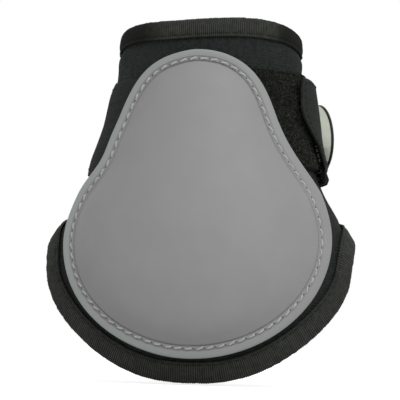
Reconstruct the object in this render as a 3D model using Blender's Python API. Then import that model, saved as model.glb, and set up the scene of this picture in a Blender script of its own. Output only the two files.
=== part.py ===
"""A hind fetlock boot for a horse: a neoprene wrap with a moulded shell, bound edges and a strap.

Metres, +Z up. The origin lies on the leg's axis, at the middle of the closure strap's height.
-Y is the shell side, which lies on the back of the fetlock, and +Y is where the wrap closes.
Every layer is drawn on one skin, the outside of the neoprene, by an angle round the leg (0 at
the middle of the shell, positive to the right) and a height, and is lifted off it along its normal.
"""

import math

import bpy
import numpy as np
from mathutils import Matrix, Vector

# Heights from the middle of the strap
RIM_OVER_STRAP = 0.0113
RIM_OVER_SHELL = 0.0132
RIM_TILT = 0.0028
BAND_FOOT = -0.0466
BAND_BACK_RISE = 0.0030
LOBE_WIDEST = -0.0626

# Outside of the neoprene, from the leg's axis
COLLAR_RADIUS = 0.0397
BAND_FLARE = 0.0117
FETLOCK_BULGE = 0.0188
SKIRT_FLARE = 0.0183
TOE_CURL = 0.0140
LOBE_ROUNDING_START = 0.0267
LOBE_ROUNDING_END = -0.0693
SKIRT_START = -0.0240
SKIRT_END = -0.0599

# Angles round the leg, in degrees
FRONT_ENDS_AT = 50.0
BACK_STARTS_AT = 112.0
RIM_RISE_ENDS_AT = 100.0
SKIRT_FADES_FROM = 92.0
LOBE_CORNER_SPAN = 24.3
WING_HINGE_AT = 120.0
WING_END_AT = 177.0
SIDE_AT = 90.0

# Shares that shape the curves above
CONE_SWELL_SHARE = 1.29
RIM_RISE_SHARE = 1.78
LOBE_SIDE_SHARE = 2.44
LOBE_FOOT_SHARE = 1.29

# Neoprene and its binding tape
NEOPRENE_THICK = 0.0050
GAP = 0.0003
LAYER_GAP = 0.0004
TAPE_THICK = 0.0008
TAPE_LEG = 0.0085
TAPE_CORNER = 0.0005
TAPE_END_GAP = 0.0009

# Moulded shell, as seen from the front, its shoulders and hips set in from its widest place
SHELL_OVER_PATCH = 0.0056
SHELL_SHOULDER_SET_IN = 0.0237
SHELL_SHOULDER_HEIGHT = 0.0036
SHELL_HIP_SET_IN = 0.0071
SHELL_HIP_HEIGHT = -0.0255
SHELL_OVER_COLLAR = 0.0191
SHELL_WIDEST = -0.0492
SHELL_FOOT = -0.0980
SHELL_SHOULDER_LEAN_SHARE = 0.36
SHELL_HIP_LEAN_SHARE = 0.71
SHELL_WAIST_PULL = 0.0140
SHELL_TOP_FLAT_SHARE = 0.62
HIP_PULL_SHARES = (0.7, 0.5)
WIDEST_PULL_SHARE = 0.6
SHELL_THICK = 0.0018
SHELL_DOME = 0.0030
SHELL_EDGE_ROUND = 0.0007
STITCH_INSET = 0.0041
STITCH_GROOVE_HALF = 0.0009
STITCH_GROOVE_DEPTH = 0.0006
DOME_FOOT_INSET = 0.0058
DOME_SHOULDER_INSET = 0.0100
DOME_CROWN_INSET = 0.0170
DOME_RISE_SHARES = (0.0, 0.6, 1.0)

# Webbing strap, its sewn, free and tab lengths
STRAP_WIDTH = 0.0420
STRAP_THICK = 0.0016
STRAP_TUCK = 0.0055
STRAP_HINGE_AT = 172.0
STRAP_CLIMB_SPAN = 6.0
TAB_HINGE_AT = 138.0
TAB_THICK = 0.0022
TAB_RISE = 0.0030
TAB_TIP_HEIGHT = 0.0095
TAB_CLEAR_OF_SHELL = 18.1
TAB_UPPER_SET_BACK = 7.0
TAB_LOWER_SET_BACK = 12.0

# Hook and loop tape
LOOP_PATCH_MARGIN = 0.0010
LOOP_PATCH_RISE = 0.0055
LOOP_PATCH_THICK = 0.0016
LOOP_PATCH_END_AT = 118.0
HOOK_THICK = 0.0012
HOOK_MARGIN = 0.0010
HOOK_START_AT = 112.0
HOOK_TIP_SET_BACK = 4.0

# Neoprene that shows round the shell
LOBE_SIDE_MARGIN = 0.0073
LOBE_FOOT_MARGIN = 0.0115
LOBE_ROUND_MARGIN = 0.0173

# Pad under the shell
PAD_EDGE_INSET = 0.0012
PAD_NOTCH_INSET = 0.0085
PAD_NOTCH_CLEAR = 0.0040
PAD_NOTCH_FADE = 0.0080

# Oval badge on the tab
BADGE_AT = 114.0
BADGE_HEIGHT = 0.0010
BADGE_HALF_LENGTH = 0.0160
BADGE_HALF_WIDTH = 0.0155
BADGE_BASE_THICK = 0.0026
BADGE_FACE_THICK = 0.0008
BADGE_RIM = 0.0016
BADGE_RIM_LIP = 0.0004
BADGE_OVERHANG = 0.0004
BADGE_FOOT_SHARES = (0.2, 0.6, 1.0)

# Joint lines stand this far outside the outermost layer
HINGE_CLEARANCE = 0.0003
HINGE_CUT_DEG = 0.2

# Spacing of the points on a sheet
SHEET_STEP = 0.0055
EDGE_STEP = 0.0060
FINE_POINTS = 400
NUDGE_SHARE = 1e-3
SHELL_POINTS = 56
FRONT_PANEL_ROWS = 18
WING_ROWS = 13
ROW_GRADING_SHARE = 1.2
STRAP_ROWS = 9
TAB_ROWS = 11
PATCH_ROWS = 10
WIDEST_COLUMN_DEG = 8.0
RIM_POINTS = 36
WING_TAPE_POINTS = 10
END_TAPE_POINTS = 12
BADGE_POINTS = 32
HALVINGS = 30
SHARP_EDGE_DEG = 40.0

# Sizes that follow: the leg sets every width, the rim clears the strap, and the lobe the shell
BAND_RADIUS = COLLAR_RADIUS + BAND_FLARE
FETLOCK_DEPTH = COLLAR_RADIUS + FETLOCK_BULGE
SHELL_HALF_WIDTH = COLLAR_RADIUS + SHELL_OVER_COLLAR
LOOP_PATCH_WIDTH = STRAP_WIDTH + 2 * LOOP_PATCH_MARGIN
LOOP_PATCH_TOP = LOOP_PATCH_RISE + LOOP_PATCH_WIDTH / 2
SHELL_TOP = LOOP_PATCH_TOP + SHELL_OVER_PATCH
SHELL_SHOULDER_HALF = SHELL_HALF_WIDTH - SHELL_SHOULDER_SET_IN
SHELL_HIP_HALF = SHELL_HALF_WIDTH - SHELL_HIP_SET_IN
RIM_HEIGHT = STRAP_WIDTH / 2 + TAPE_LEG + RIM_OVER_STRAP
RIM_FRONT_RISE = SHELL_TOP + RIM_OVER_SHELL - RIM_HEIGHT
LOBE_FOOT = SHELL_FOOT - LOBE_FOOT_MARGIN
LOBE_RADIUS = SHELL_HALF_WIDTH + LOBE_ROUND_MARGIN

# Lifts off the skin, layer by layer
LAYER_LIFT = LAYER_GAP
LAYER_TOP = LAYER_LIFT + max(STRAP_THICK, LOOP_PATCH_THICK)
SHELL_LIFT = LAYER_TOP + LAYER_GAP
TAPE_TOP = GAP + TAPE_THICK
STRAP_OVER_TAPE = TAPE_TOP + GAP
HOOK_LIFT = LAYER_LIFT + LOOP_PATCH_THICK + GAP
TAB_LIFT = HOOK_LIFT + HOOK_THICK + GAP
TAB_TOP = TAB_LIFT + TAB_THICK

COLOURS = {
    "shell": ((0.30, 0.30, 0.30), 0.42),
    "neoprene": ((0.022, 0.027, 0.024), 0.85),
    "binding": ((0.033, 0.034, 0.031), 0.80),
    "webbing": ((0.026, 0.027, 0.025), 0.80),
    "loop": ((0.012, 0.013, 0.012), 0.95),
    "hook": ((0.016, 0.016, 0.016), 0.60),
    "foam": ((0.030, 0.032, 0.031), 0.90),
    "badge_base": ((0.52, 0.54, 0.46), 0.50),
    "badge_face": ((0.030, 0.033, 0.030), 0.35),
}


def smooth(share):
    """0 up to share 0, 1 from share 1, and a smooth S between."""
    share = np.clip(share, 0.0, 1.0)
    return share * share * (3.0 - 2.0 * share)


def skin_radius(angle, height):
    """Distance from the leg's axis to the outside of the neoprene, at an angle in degrees."""
    turn = np.radians(np.abs(angle))
    bulge = smooth((RIM_HEIGHT - height) / (RIM_HEIGHT - LOBE_WIDEST))
    curl = np.clip((LOBE_WIDEST - height) / (LOBE_WIDEST - LOBE_FOOT), 0.0, None) ** 2
    depth = COLLAR_RADIUS + (FETLOCK_DEPTH - COLLAR_RADIUS) * bulge - TOE_CURL * curl
    spread = smooth((LOBE_ROUNDING_START - height) / (LOBE_ROUNDING_START - LOBE_ROUNDING_END))
    round_off = COLLAR_RADIUS + (LOBE_RADIUS - COLLAR_RADIUS) * spread
    round_off = np.maximum(round_off, depth)
    centre = round_off - depth
    front = np.sqrt(round_off**2 - (centre * np.sin(turn)) ** 2) - centre * np.cos(turn)
    down = np.clip((RIM_HEIGHT - height) / (RIM_HEIGHT - BAND_FOOT), 0.0, None)
    back = COLLAR_RADIUS + (BAND_RADIUS - COLLAR_RADIUS) * down**CONE_SWELL_SHARE
    fade = 1.0 - smooth((np.abs(angle) - SKIRT_FADES_FROM) / (WING_HINGE_AT - SKIRT_FADES_FROM))
    back = back + fade * SKIRT_FLARE * smooth((SKIRT_START - height) / (SKIRT_START - SKIRT_END))
    rear = smooth((np.abs(angle) - FRONT_ENDS_AT) / (BACK_STARTS_AT - FRONT_ENDS_AT))
    return front + (back - front) * rear


def skin_base(angle, height):
    """Points of the neoprene's outside."""
    angle, height = np.broadcast_arrays(np.asarray(angle, float), np.asarray(height, float))
    turn = np.radians(angle)
    reach = skin_radius(angle, height)
    return np.stack([reach * np.sin(turn), -reach * np.cos(turn), height], axis=-1)


def skin_slopes(angle, height):
    """How a skin point moves per degree of angle and per metre of height."""
    small = NUDGE_SHARE * COLLAR_RADIUS
    wide = math.degrees(NUDGE_SHARE)
    angle, height = np.broadcast_arrays(np.asarray(angle, float), np.asarray(height, float))
    by_angle = (skin_base(angle + wide, height) - skin_base(angle - wide, height)) / (2 * wide)
    by_height = (skin_base(angle, height + small) - skin_base(angle, height - small)) / (2 * small)
    return by_angle, by_height


def skin_normal(angle, height):
    """Unit normals of the skin, away from the leg."""
    by_angle, by_height = skin_slopes(angle, height)
    normal = np.cross(by_angle, by_height)
    return normal / np.linalg.norm(normal, axis=-1, keepdims=True)


def skin(angle, height, lift=0.0):
    """Points lifted off the neoprene's outside along its normal."""
    lift = np.asarray(lift, float)[..., None]
    return skin_base(angle, height) + lift * skin_normal(angle, height)


def moved_in(angle, height, distance, inward):
    """An edge curve moved across the skin: inward is 1 for the left of its run, -1 for the right."""
    by_angle, by_height = skin_slopes(angle, height)
    normal = skin_normal(angle, height)
    run = np.gradient(skin_base(angle, height), axis=0)
    run /= np.linalg.norm(run, axis=-1, keepdims=True)
    across = inward * np.cross(normal, run)
    aa = np.sum(by_angle * by_angle, axis=-1)
    ah = np.sum(by_angle * by_height, axis=-1)
    hh = np.sum(by_height * by_height, axis=-1)
    ca = np.sum(by_angle * across, axis=-1)
    ch = np.sum(by_height * across, axis=-1)
    spread = aa * hh - ah * ah
    turned = (hh * ca - ah * ch) / spread
    raised = (aa * ch - ah * ca) / spread
    return angle + distance * turned, height + distance * raised


def even(angle, height, count):
    """The same curve on the skin with count points at even steps along it."""
    points = skin_base(angle, height)
    step = np.linalg.norm(np.diff(points, axis=0), axis=-1)
    along = np.concatenate([[0.0], np.cumsum(step)])
    wanted = np.linspace(0.0, along[-1], count)
    return np.interp(wanted, along, angle), np.interp(wanted, along, height)


def count_along(angle, height, step):
    """How many points a curve takes at about this step."""
    points = skin_base(angle, height)
    length = np.linalg.norm(np.diff(points, axis=0), axis=-1).sum()
    return max(3, int(round(length / step)) + 1)


def top_edge(angle):
    """Height of the wrap's upper edge: higher over the shell, and a little to the right."""
    turn = np.clip(np.abs(angle) / RIM_RISE_ENDS_AT, 0.0, 1.0) ** RIM_RISE_SHARE
    front = RIM_FRONT_RISE * 0.5 * (1.0 + np.cos(math.pi * turn))
    return RIM_HEIGHT + front + RIM_TILT * np.sin(np.radians(angle))


def angle_at(x, height, lift):
    """The angle at which a lifted skin point has this x, for points in front of the leg's side."""
    low = np.zeros_like(np.asarray(x, float))
    high = np.full_like(low, SIDE_AT)
    for _ in range(HALVINGS):
        middle = (low + high) / 2
        short = skin(middle, height, lift)[..., 0] < np.abs(x)
        low = np.where(short, middle, low)
        high = np.where(short, high, middle)
    return np.sign(x) * (low + high) / 2


def lower_edge_right():
    """The wrap's lower edge from the middle of the lobe round its side to the closing end."""
    edge_at = float(angle_at(SHELL_HALF_WIDTH + LOBE_SIDE_MARGIN, LOBE_WIDEST, 0.0))
    swing = np.linspace(0.0, math.pi / 2, FINE_POINTS)
    lobe_angle = edge_at * np.sin(swing) ** (2.0 / LOBE_SIDE_SHARE)
    lobe_height = LOBE_WIDEST + (LOBE_FOOT - LOBE_WIDEST) * np.cos(swing) ** (2.0 / LOBE_FOOT_SHARE)
    corner_angle = edge_at + LOBE_CORNER_SPAN * (1.0 - np.cos(swing))
    corner_height = LOBE_WIDEST + (BAND_FOOT - LOBE_WIDEST) * np.sin(swing)
    level_angle = np.linspace(edge_at + LOBE_CORNER_SPAN, WING_END_AT, FINE_POINTS)
    rise = smooth((level_angle - level_angle[0]) / (WING_END_AT - level_angle[0]))
    level_height = BAND_FOOT + BAND_BACK_RISE * rise
    angle = np.concatenate([lobe_angle, corner_angle[1:], level_angle[1:]])
    height = np.concatenate([lobe_height, corner_height[1:], level_height[1:]])
    return angle, height


def lower_edge_between(start, end):
    """The part of the lower edge between two angles on the right, ends included."""
    angle, height = lower_edge_right()
    rising = np.maximum.accumulate(angle)
    inside = (rising > start) & (rising < end)
    ends = np.interp([start, end], rising, height)
    cut_angle = np.concatenate([[start], angle[inside], [end]])
    cut_height = np.concatenate([[ends[0]], height[inside], [ends[1]]])
    return cut_angle, cut_height


def bezier(start, start_handle, end_handle, end, count):
    """A cubic curve between two points, without its last point."""
    t = np.linspace(0.0, 1.0, count, endpoint=False)[:, None]
    a, b, c, d = (np.array(p, float) for p in (start, start_handle, end_handle, end))
    return a * (1 - t) ** 3 + 3 * b * t * (1 - t) ** 2 + 3 * c * t**2 * (1 - t) + d * t**3


def quarter_oval(start, end, swing_out, count):
    """A quarter of an oval from start to end, leaving along x if swing_out, else along z."""
    t = np.linspace(0.0, math.pi / 2, count, endpoint=False)[:, None]
    a, d = np.array(start, float), np.array(end, float)
    across, down = np.sin(t), 1.0 - np.cos(t)
    share = np.hstack([across, down]) if swing_out else np.hstack([down, across])
    return a + (d - a) * share


def shell_half_outline():
    """The shell's right half from its top to its foot, as seen from the front: x and height."""
    shoulder_lean = np.array([SHELL_SHOULDER_LEAN_SHARE, -1.0]) * SHELL_WAIST_PULL
    hip_lean = np.array([SHELL_HIP_LEAN_SHARE, -1.0]) * SHELL_WAIST_PULL
    top = (0.0, SHELL_TOP)
    shoulder = np.array([SHELL_SHOULDER_HALF, SHELL_SHOULDER_HEIGHT])
    hip = np.array([SHELL_HIP_HALF, SHELL_HIP_HEIGHT])
    widest = np.array([SHELL_HALF_WIDTH, SHELL_WIDEST])
    foot = (0.0, SHELL_FOOT)
    top_handle = (SHELL_SHOULDER_HALF * SHELL_TOP_FLAT_SHARE, SHELL_TOP)
    above_hip, below_hip = (hip_lean * share for share in HIP_PULL_SHARES)
    over_widest = widest + (0.0, SHELL_WAIST_PULL * WIDEST_PULL_SHARE)
    pieces = [
        bezier(top, top_handle, shoulder - shoulder_lean, shoulder, FINE_POINTS),
        bezier(shoulder, shoulder + shoulder_lean, hip - above_hip, hip, FINE_POINTS),
        bezier(hip, hip + below_hip, over_widest, widest, FINE_POINTS),
        quarter_oval(widest, foot, False, FINE_POINTS),
        [foot],
    ]
    return np.vstack(pieces)


def shell_outline(count):
    """The whole outline, clockwise from the top as seen from the front, at even steps."""
    right = shell_half_outline()
    left = right[-2:0:-1] * (-1.0, 1.0)
    loop = np.vstack([right, left, right[:1]])
    step = np.linalg.norm(np.diff(loop, axis=0), axis=1)
    along = np.concatenate([[0.0], np.cumsum(step)])
    wanted = np.linspace(0.0, along[-1], count, endpoint=False)
    return np.stack([np.interp(wanted, along, loop[:, i]) for i in (0, 1)], axis=1)


def pulled_in(loop, distance):
    """A closed loop moved towards its inside by a distance, or by one for each point."""
    run = np.roll(loop, -1, axis=0) - np.roll(loop, 1, axis=0)
    run /= np.linalg.norm(run, axis=1, keepdims=True)
    inward = np.stack([run[:, 1], -run[:, 0]], axis=1)
    return loop + inward * np.broadcast_to(distance, len(loop))[:, None]


def shell_edge_angle(height, inset):
    """The angle of the shell's right edge at these heights, moved in by inset."""
    outline = shell_half_outline()
    half = np.interp(height, outline[::-1, 1], outline[::-1, 0])
    return angle_at(half - inset, height, SHELL_LIFT + SHELL_THICK)


def add_solid(name, points, faces, colour):
    """A named object with its own material, its faces turned outwards and shaded smooth."""
    mesh = bpy.data.meshes.new(name)
    mesh.from_pydata([tuple(p) for p in points], [], faces)
    mesh.update()
    mesh.shade_smooth()
    mesh.set_sharp_from_angle(angle=math.radians(SHARP_EDGE_DEG))
    rgb, roughness = COLOURS[colour]
    material = bpy.data.materials.new(name)
    material.use_nodes = True
    shader = material.node_tree.nodes["Principled BSDF"]
    shader.inputs["Base Color"].default_value = (*rgb, 1.0)
    shader.inputs["Roughness"].default_value = roughness
    shader.inputs["Metallic"].default_value = 0.0
    mesh.materials.append(material)
    obj = bpy.data.objects.new(name, mesh)
    bpy.context.scene.collection.objects.link(obj)
    return obj


def sheet(name, angle, height, inner, outer, colour):
    """A layer over a grid of skin points, columns running right and rows running up."""
    columns, rows = angle.shape
    inner = np.broadcast_to(inner, angle.shape)
    outer = np.broadcast_to(outer, angle.shape)
    points = np.vstack([
        skin(angle, height, outer).reshape(-1, 3),
        skin(angle, height, inner).reshape(-1, 3),
    ])
    back = columns * rows

    def at(i, j):
        return i * rows + j

    faces = []
    for i in range(columns - 1):
        for j in range(rows - 1):
            quad = (at(i, j), at(i + 1, j), at(i + 1, j + 1), at(i, j + 1))
            if 2 * i < columns - 1:
                quad = quad[1:] + quad[:1]
            faces.append(quad)
            faces.append(tuple(back + k for k in reversed(quad)))
    border = [at(i, 0) for i in range(columns - 1)]
    border += [at(columns - 1, j) for j in range(rows - 1)]
    border += [at(i, rows - 1) for i in range(columns - 1, 0, -1)]
    border += [at(0, j) for j in range(rows - 1, 0, -1)]
    for first, second in zip(border, border[1:] + border[:1]):
        faces.append((second, first, back + first, back + second))
    return add_solid(name, points, faces, colour)


def inner_grid(angle, height):
    """A square grid of points that fills a loop, with its border on the loop."""
    side = len(angle) // 4
    loop = np.roll(np.stack([angle, height], axis=1), side // 2, axis=0)
    loop = np.vstack([loop, loop[:1]])
    top, right = loop[:side + 1], loop[side:2 * side + 1]
    bottom, left = loop[3 * side:2 * side - 1:-1], loop[:3 * side - 1:-1]
    u = np.linspace(0.0, 1.0, side + 1)[:, None, None]
    v = np.linspace(0.0, 1.0, side + 1)[None, :, None]
    grid = (1 - v) * top[:, None] + v * bottom[:, None] + (1 - u) * left[None] + u * right[None]
    grid -= (1 - u) * (1 - v) * top[0] + u * (1 - v) * top[-1]
    grid -= (1 - u) * v * bottom[0] + u * v * bottom[-1]
    return grid


def grid_numbers(side, ring_start, inner_start):
    """Point numbers of that grid: its border is the ring, its inner points come after."""
    numbers = np.zeros((side + 1, side + 1), int)
    inner = np.arange((side - 1) ** 2).reshape(side - 1, side - 1)
    numbers[1:-1, 1:-1] = inner_start + inner
    for k in range(side + 1):
        for i, j, turned in (
            (k, 0, k),
            (side, k, side + k),
            (k, side, 3 * side - k),
            (0, k, 4 * side - k),
        ):
            numbers[i, j] = ring_start + (turned - side // 2) % (4 * side)
    return numbers


def ring_sheet(name, rings, inner, outer, colour):
    """A layer over nested rings of skin points, the first its edge, the last filled by a grid."""
    loops = len(rings)
    count = len(rings[0][0])
    side = count // 4
    fill = inner_grid(*rings[-1])[1:-1, 1:-1].reshape(-1, 2)
    points = []
    for lifts in (outer, inner):
        for (angle, height), lift in zip(rings, lifts):
            points.append(skin(angle, height, lift))
        points.append(skin(fill[:, 0], fill[:, 1], np.full(len(fill), lifts[-1])))
    points = np.vstack(points)
    back = loops * count + len(fill)
    front_faces = []
    for k in range(count):
        after = (k + 1) % count
        for r in range(loops - 1):
            here, inside = r * count, (r + 1) * count
            front_faces.append((here + k, inside + k, inside + after, here + after))
    numbers = grid_numbers(side, (loops - 1) * count, loops * count)
    for i in range(side):
        for j in range(side):
            corners = numbers[i, j], numbers[i, j + 1], numbers[i + 1, j + 1], numbers[i + 1, j]
            front_faces.append(tuple(int(v) for v in corners))
    faces = list(front_faces)
    faces += [tuple(back + v for v in reversed(face)) for face in front_faces]
    faces += [(k, (k + 1) % count, back + (k + 1) % count, back + k) for k in range(count)]
    return add_solid(name, points, faces, colour)


def wrap_panel(name, bottom, top_angle, rows):
    """A panel of neoprene between its lower edge and the rim."""
    up = np.linspace(0.0, 1.0, rows)[None, :] ** ROW_GRADING_SHARE
    top_height = top_edge(top_angle)
    angle = bottom[0][:, None] + (top_angle - bottom[0])[:, None] * up
    height = bottom[1][:, None] + (top_height - bottom[1])[:, None] * up
    return sheet(name, angle, height, -NEOPRENE_THICK, 0.0, "neoprene")


def tape(name, angle, height, inward):
    """Binding tape folded over an edge: a U-shaped profile carried along the edge curve."""
    inside = -NEOPRENE_THICK
    far = GAP + TAPE_THICK
    profile = [
        (TAPE_LEG / 2, GAP),
        (TAPE_LEG, GAP),
        (TAPE_LEG, far),
        (TAPE_LEG / 2, far),
        (TAPE_CORNER, far),
        (-far + TAPE_CORNER, far - TAPE_CORNER / 2),
        (-far, GAP - TAPE_CORNER / 2),
        (-far, inside - GAP + TAPE_CORNER / 2),
        (-far + TAPE_CORNER, inside - far + TAPE_CORNER / 2),
        (TAPE_CORNER, inside - far),
        (TAPE_LEG / 2, inside - far),
        (TAPE_LEG, inside - far),
        (TAPE_LEG, inside - GAP),
        (TAPE_LEG / 2, inside - GAP),
        (-GAP, inside - GAP),
        (-GAP, GAP),
    ]
    rows = []
    for distance, lift in profile:
        moved = moved_in(angle, height, distance, inward)
        rows.append(skin(moved[0], moved[1], lift))
    points = np.stack(rows, axis=1).reshape(-1, 3)
    size, steps = len(profile), len(angle)
    faces = []
    for i in range(steps - 1):
        for k in range(size):
            after = (k + 1) % size
            here, ahead = i * size, (i + 1) * size
            faces.append((here + k, here + after, ahead + after, ahead + k))
    faces.append(tuple(reversed(range(size))))
    faces.append(tuple((steps - 1) * size + k for k in range(size)))
    if inward < 0:
        faces = [tuple(reversed(face)) for face in faces]
    return add_solid(name, points, faces, "binding")


def side_cut(side):
    """The angle just inside the wing's joint line, on one side."""
    return side * (WING_HINGE_AT - HINGE_CUT_DEG)


def front_lower_edge():
    """The lower edge between the two joint lines, from left to right, at even steps."""
    right = lower_edge_between(0.0, side_cut(1))
    right = even(*right, count_along(*right, EDGE_STEP))
    angle = np.concatenate([-right[0][:0:-1], right[0]])
    height = np.concatenate([right[1][:0:-1], right[1]])
    return angle, height


def build_wrap():
    """The neoprene wrap: the panel under the shell with its lobe, and the two wings."""
    foot = front_lower_edge()
    rim = np.linspace(side_cut(-1), side_cut(1), len(foot[0]))
    wrap_panel("neoprene_front_panel", foot, rim, FRONT_PANEL_ROWS)
    wing = lower_edge_between(WING_HINGE_AT + HINGE_CUT_DEG, WING_END_AT)
    wing = even(*wing, count_along(*wing, EDGE_STEP))
    wing_rim = np.linspace(WING_HINGE_AT + HINGE_CUT_DEG, WING_END_AT, len(wing[0]))
    wrap_panel("neoprene_right_wing", wing, wing_rim, WING_ROWS)
    wrap_panel("neoprene_left_wing", (-wing[0][::-1], wing[1][::-1]), -wing_rim[::-1], WING_ROWS)


def build_binding():
    """Ribbed tape folded over every edge of the wrap, in lengths that end at the joint lines."""
    foot = front_lower_edge()
    tape("bottom_binding_front", *foot, 1)
    rim = np.linspace(side_cut(-1), side_cut(1), RIM_POINTS)
    tape("top_binding_front", rim, top_edge(rim), -1)
    corner = math.degrees((TAPE_LEG + TAPE_END_GAP) / COLLAR_RADIUS)
    low_corner = math.degrees((TAPE_LEG + TAPE_END_GAP) / BAND_RADIUS)
    for side, word in ((1, "right"), (-1, "left")):
        start = WING_HINGE_AT + HINGE_CUT_DEG
        wing_rim = side * np.linspace(start, WING_END_AT - corner, WING_TAPE_POINTS)
        tape(f"top_binding_{word}", wing_rim, top_edge(wing_rim), -side)
        foot = lower_edge_between(start, WING_END_AT - low_corner)
        foot = even(*foot, WING_TAPE_POINTS)
        tape(f"bottom_binding_{word}", side * foot[0], foot[1], side)
        low = lower_edge_between(start, WING_END_AT)[1][-1]
        rise = np.linspace(low, float(top_edge(WING_END_AT)), END_TAPE_POINTS)
        tape(f"end_binding_{word}", np.full_like(rise, side * WING_END_AT), rise, side)


def dome_rise(inset):
    """How far the shell's dome stands above its lip at a distance in from its edge."""
    insets = (DOME_FOOT_INSET, DOME_SHOULDER_INSET, DOME_CROWN_INSET)
    return SHELL_DOME * np.interp(inset, insets, DOME_RISE_SHARES)


def shell_ring(outline, inset):
    """The shell's outline moved in by a distance, as angles and heights."""
    loop = pulled_in(outline, inset)
    return angle_at(loop[:, 0], loop[:, 1], SHELL_LIFT + SHELL_THICK), loop[:, 1]


def build_shell():
    """The moulded shell: a flat lip with a sewn groove, and a dome padded from behind."""
    outline = shell_outline(SHELL_POINTS)
    flat = SHELL_LIFT + SHELL_THICK
    stations = [
        (0.0, SHELL_LIFT + SHELL_EDGE_ROUND),
        (SHELL_EDGE_ROUND, flat),
        (STITCH_INSET - STITCH_GROOVE_HALF, flat),
        (STITCH_INSET, flat - STITCH_GROOVE_DEPTH),
        (STITCH_INSET + STITCH_GROOVE_HALF, flat),
        (DOME_FOOT_INSET, flat),
        (DOME_SHOULDER_INSET, flat + dome_rise(DOME_SHOULDER_INSET)),
        (DOME_CROWN_INSET, flat + dome_rise(DOME_CROWN_INSET)),
    ]
    rings = [shell_ring(outline, inset) for inset, _ in stations]
    inner = [SHELL_LIFT + dome_rise(inset) for inset, _ in stations]
    ring_sheet("shell", rings, inner, [lift for _, lift in stations], "shell")


def build_pad():
    """The foam pad between shell and wrap, notched where the strap and loop patch are tucked in."""
    outline = shell_outline(SHELL_POINTS)
    right = shell_half_outline()[::-1]
    patch_corner = np.interp(LOOP_PATCH_TOP, right[:, 1], right[:, 0]) - STRAP_TUCK
    above = np.abs(outline[:, 1]) - LOOP_PATCH_TOP
    inside = patch_corner - np.abs(outline[:, 0])
    clear = np.maximum(above, inside) - PAD_NOTCH_CLEAR
    edge = PAD_NOTCH_INSET + (PAD_EDGE_INSET - PAD_NOTCH_INSET) * smooth(clear / PAD_NOTCH_FADE)
    insets = [
        edge,
        np.maximum(DOME_FOOT_INSET, edge + GAP),
        np.full(SHELL_POINTS, DOME_SHOULDER_INSET),
        np.full(SHELL_POINTS, DOME_CROWN_INSET),
    ]
    rings = [shell_ring(outline, inset) for inset in insets]
    rises = [0.0, 0.0, dome_rise(DOME_SHOULDER_INSET), dome_rise(DOME_CROWN_INSET)]
    outer = [SHELL_LIFT - LAYER_GAP + rise for rise in rises]
    ring_sheet("impact_pad", rings, [LAYER_LIFT] * len(rings), outer, "foam")


def band(name, start, end, rows, lift, thick, colour, rises=(0.0, 0.0)):
    """A strip round the leg over these heights. start and end are angles, one for each row, and
    rises say how far the strip has climbed at each end."""
    first, last = np.broadcast_to(start, len(rows)), np.broadcast_to(end, len(rows))
    middle = len(rows) // 2
    columns = count_along(np.array([first[middle], last[middle]]), np.zeros(2), SHEET_STEP) + 1
    columns = max(columns, int(abs(last[0] - first[0]) / WIDEST_COLUMN_DEG) + 2)
    across = np.linspace(0.0, 1.0, columns)[:, None]
    angle = first[None, :] + (last - first)[None, :] * across
    height = rows[None, :] + np.interp(across, (0.0, 1.0), rises)
    under = lift(angle) if callable(lift) else lift
    return sheet(name, angle, height, under, under + thick, colour)


def strap_lift(angle):
    """Underside of the strap off the skin: on the wrap, then over the tape, then over the patch."""
    turned = np.where(angle < 0.0, angle + 360.0, angle)
    tape_starts = WING_END_AT - math.degrees((TAPE_LEG + TAPE_END_GAP) / COLLAR_RADIUS)
    climb = smooth((360.0 - turned - tape_starts + STRAP_CLIMB_SPAN) / STRAP_CLIMB_SPAN)
    on_wrap = LAYER_LIFT + (STRAP_OVER_TAPE - LAYER_LIFT) * climb
    off_tape = smooth((STRAP_HINGE_AT - turned) / (STRAP_HINGE_AT - TAB_HINGE_AT))
    return on_wrap + (TAB_LIFT - STRAP_OVER_TAPE) * off_tape


def build_strap():
    """The webbing strap: tucked under the shell, sewn along the left wing, then free."""
    rows = np.linspace(-STRAP_WIDTH / 2, STRAP_WIDTH / 2, STRAP_ROWS)
    cut = HINGE_CUT_DEG
    tucked = -shell_edge_angle(rows, STRAP_TUCK)
    hinge = 360.0 - STRAP_HINGE_AT
    band("strap_anchor", side_cut(-1), tucked, rows, LAYER_LIFT, STRAP_THICK, "webbing")
    band("strap_sewn", -STRAP_HINGE_AT + cut, -WING_HINGE_AT - cut, rows, strap_lift, STRAP_THICK, "webbing")
    start = TAB_HINGE_AT + cut
    band("strap_band", start, hinge - cut, rows, strap_lift, STRAP_THICK, "webbing", (TAB_RISE, 0.0))


def tab_tip(height):
    """The angle of the tab's rounded tip at these heights."""
    top, foot = TAB_RISE + STRAP_WIDTH / 2, TAB_RISE - STRAP_WIDTH / 2
    above = np.clip(height - TAB_TIP_HEIGHT, 0.0, None) / (top - TAB_TIP_HEIGHT)
    below = np.clip(TAB_TIP_HEIGHT - height, 0.0, None) / (TAB_TIP_HEIGHT - foot)
    set_back = TAB_UPPER_SET_BACK * above**2 + TAB_LOWER_SET_BACK * smooth(below)
    lower_corner = float(shell_edge_angle(foot, 0.0)) + TAB_CLEAR_OF_SHELL
    return lower_corner - TAB_LOWER_SET_BACK + set_back


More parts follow.
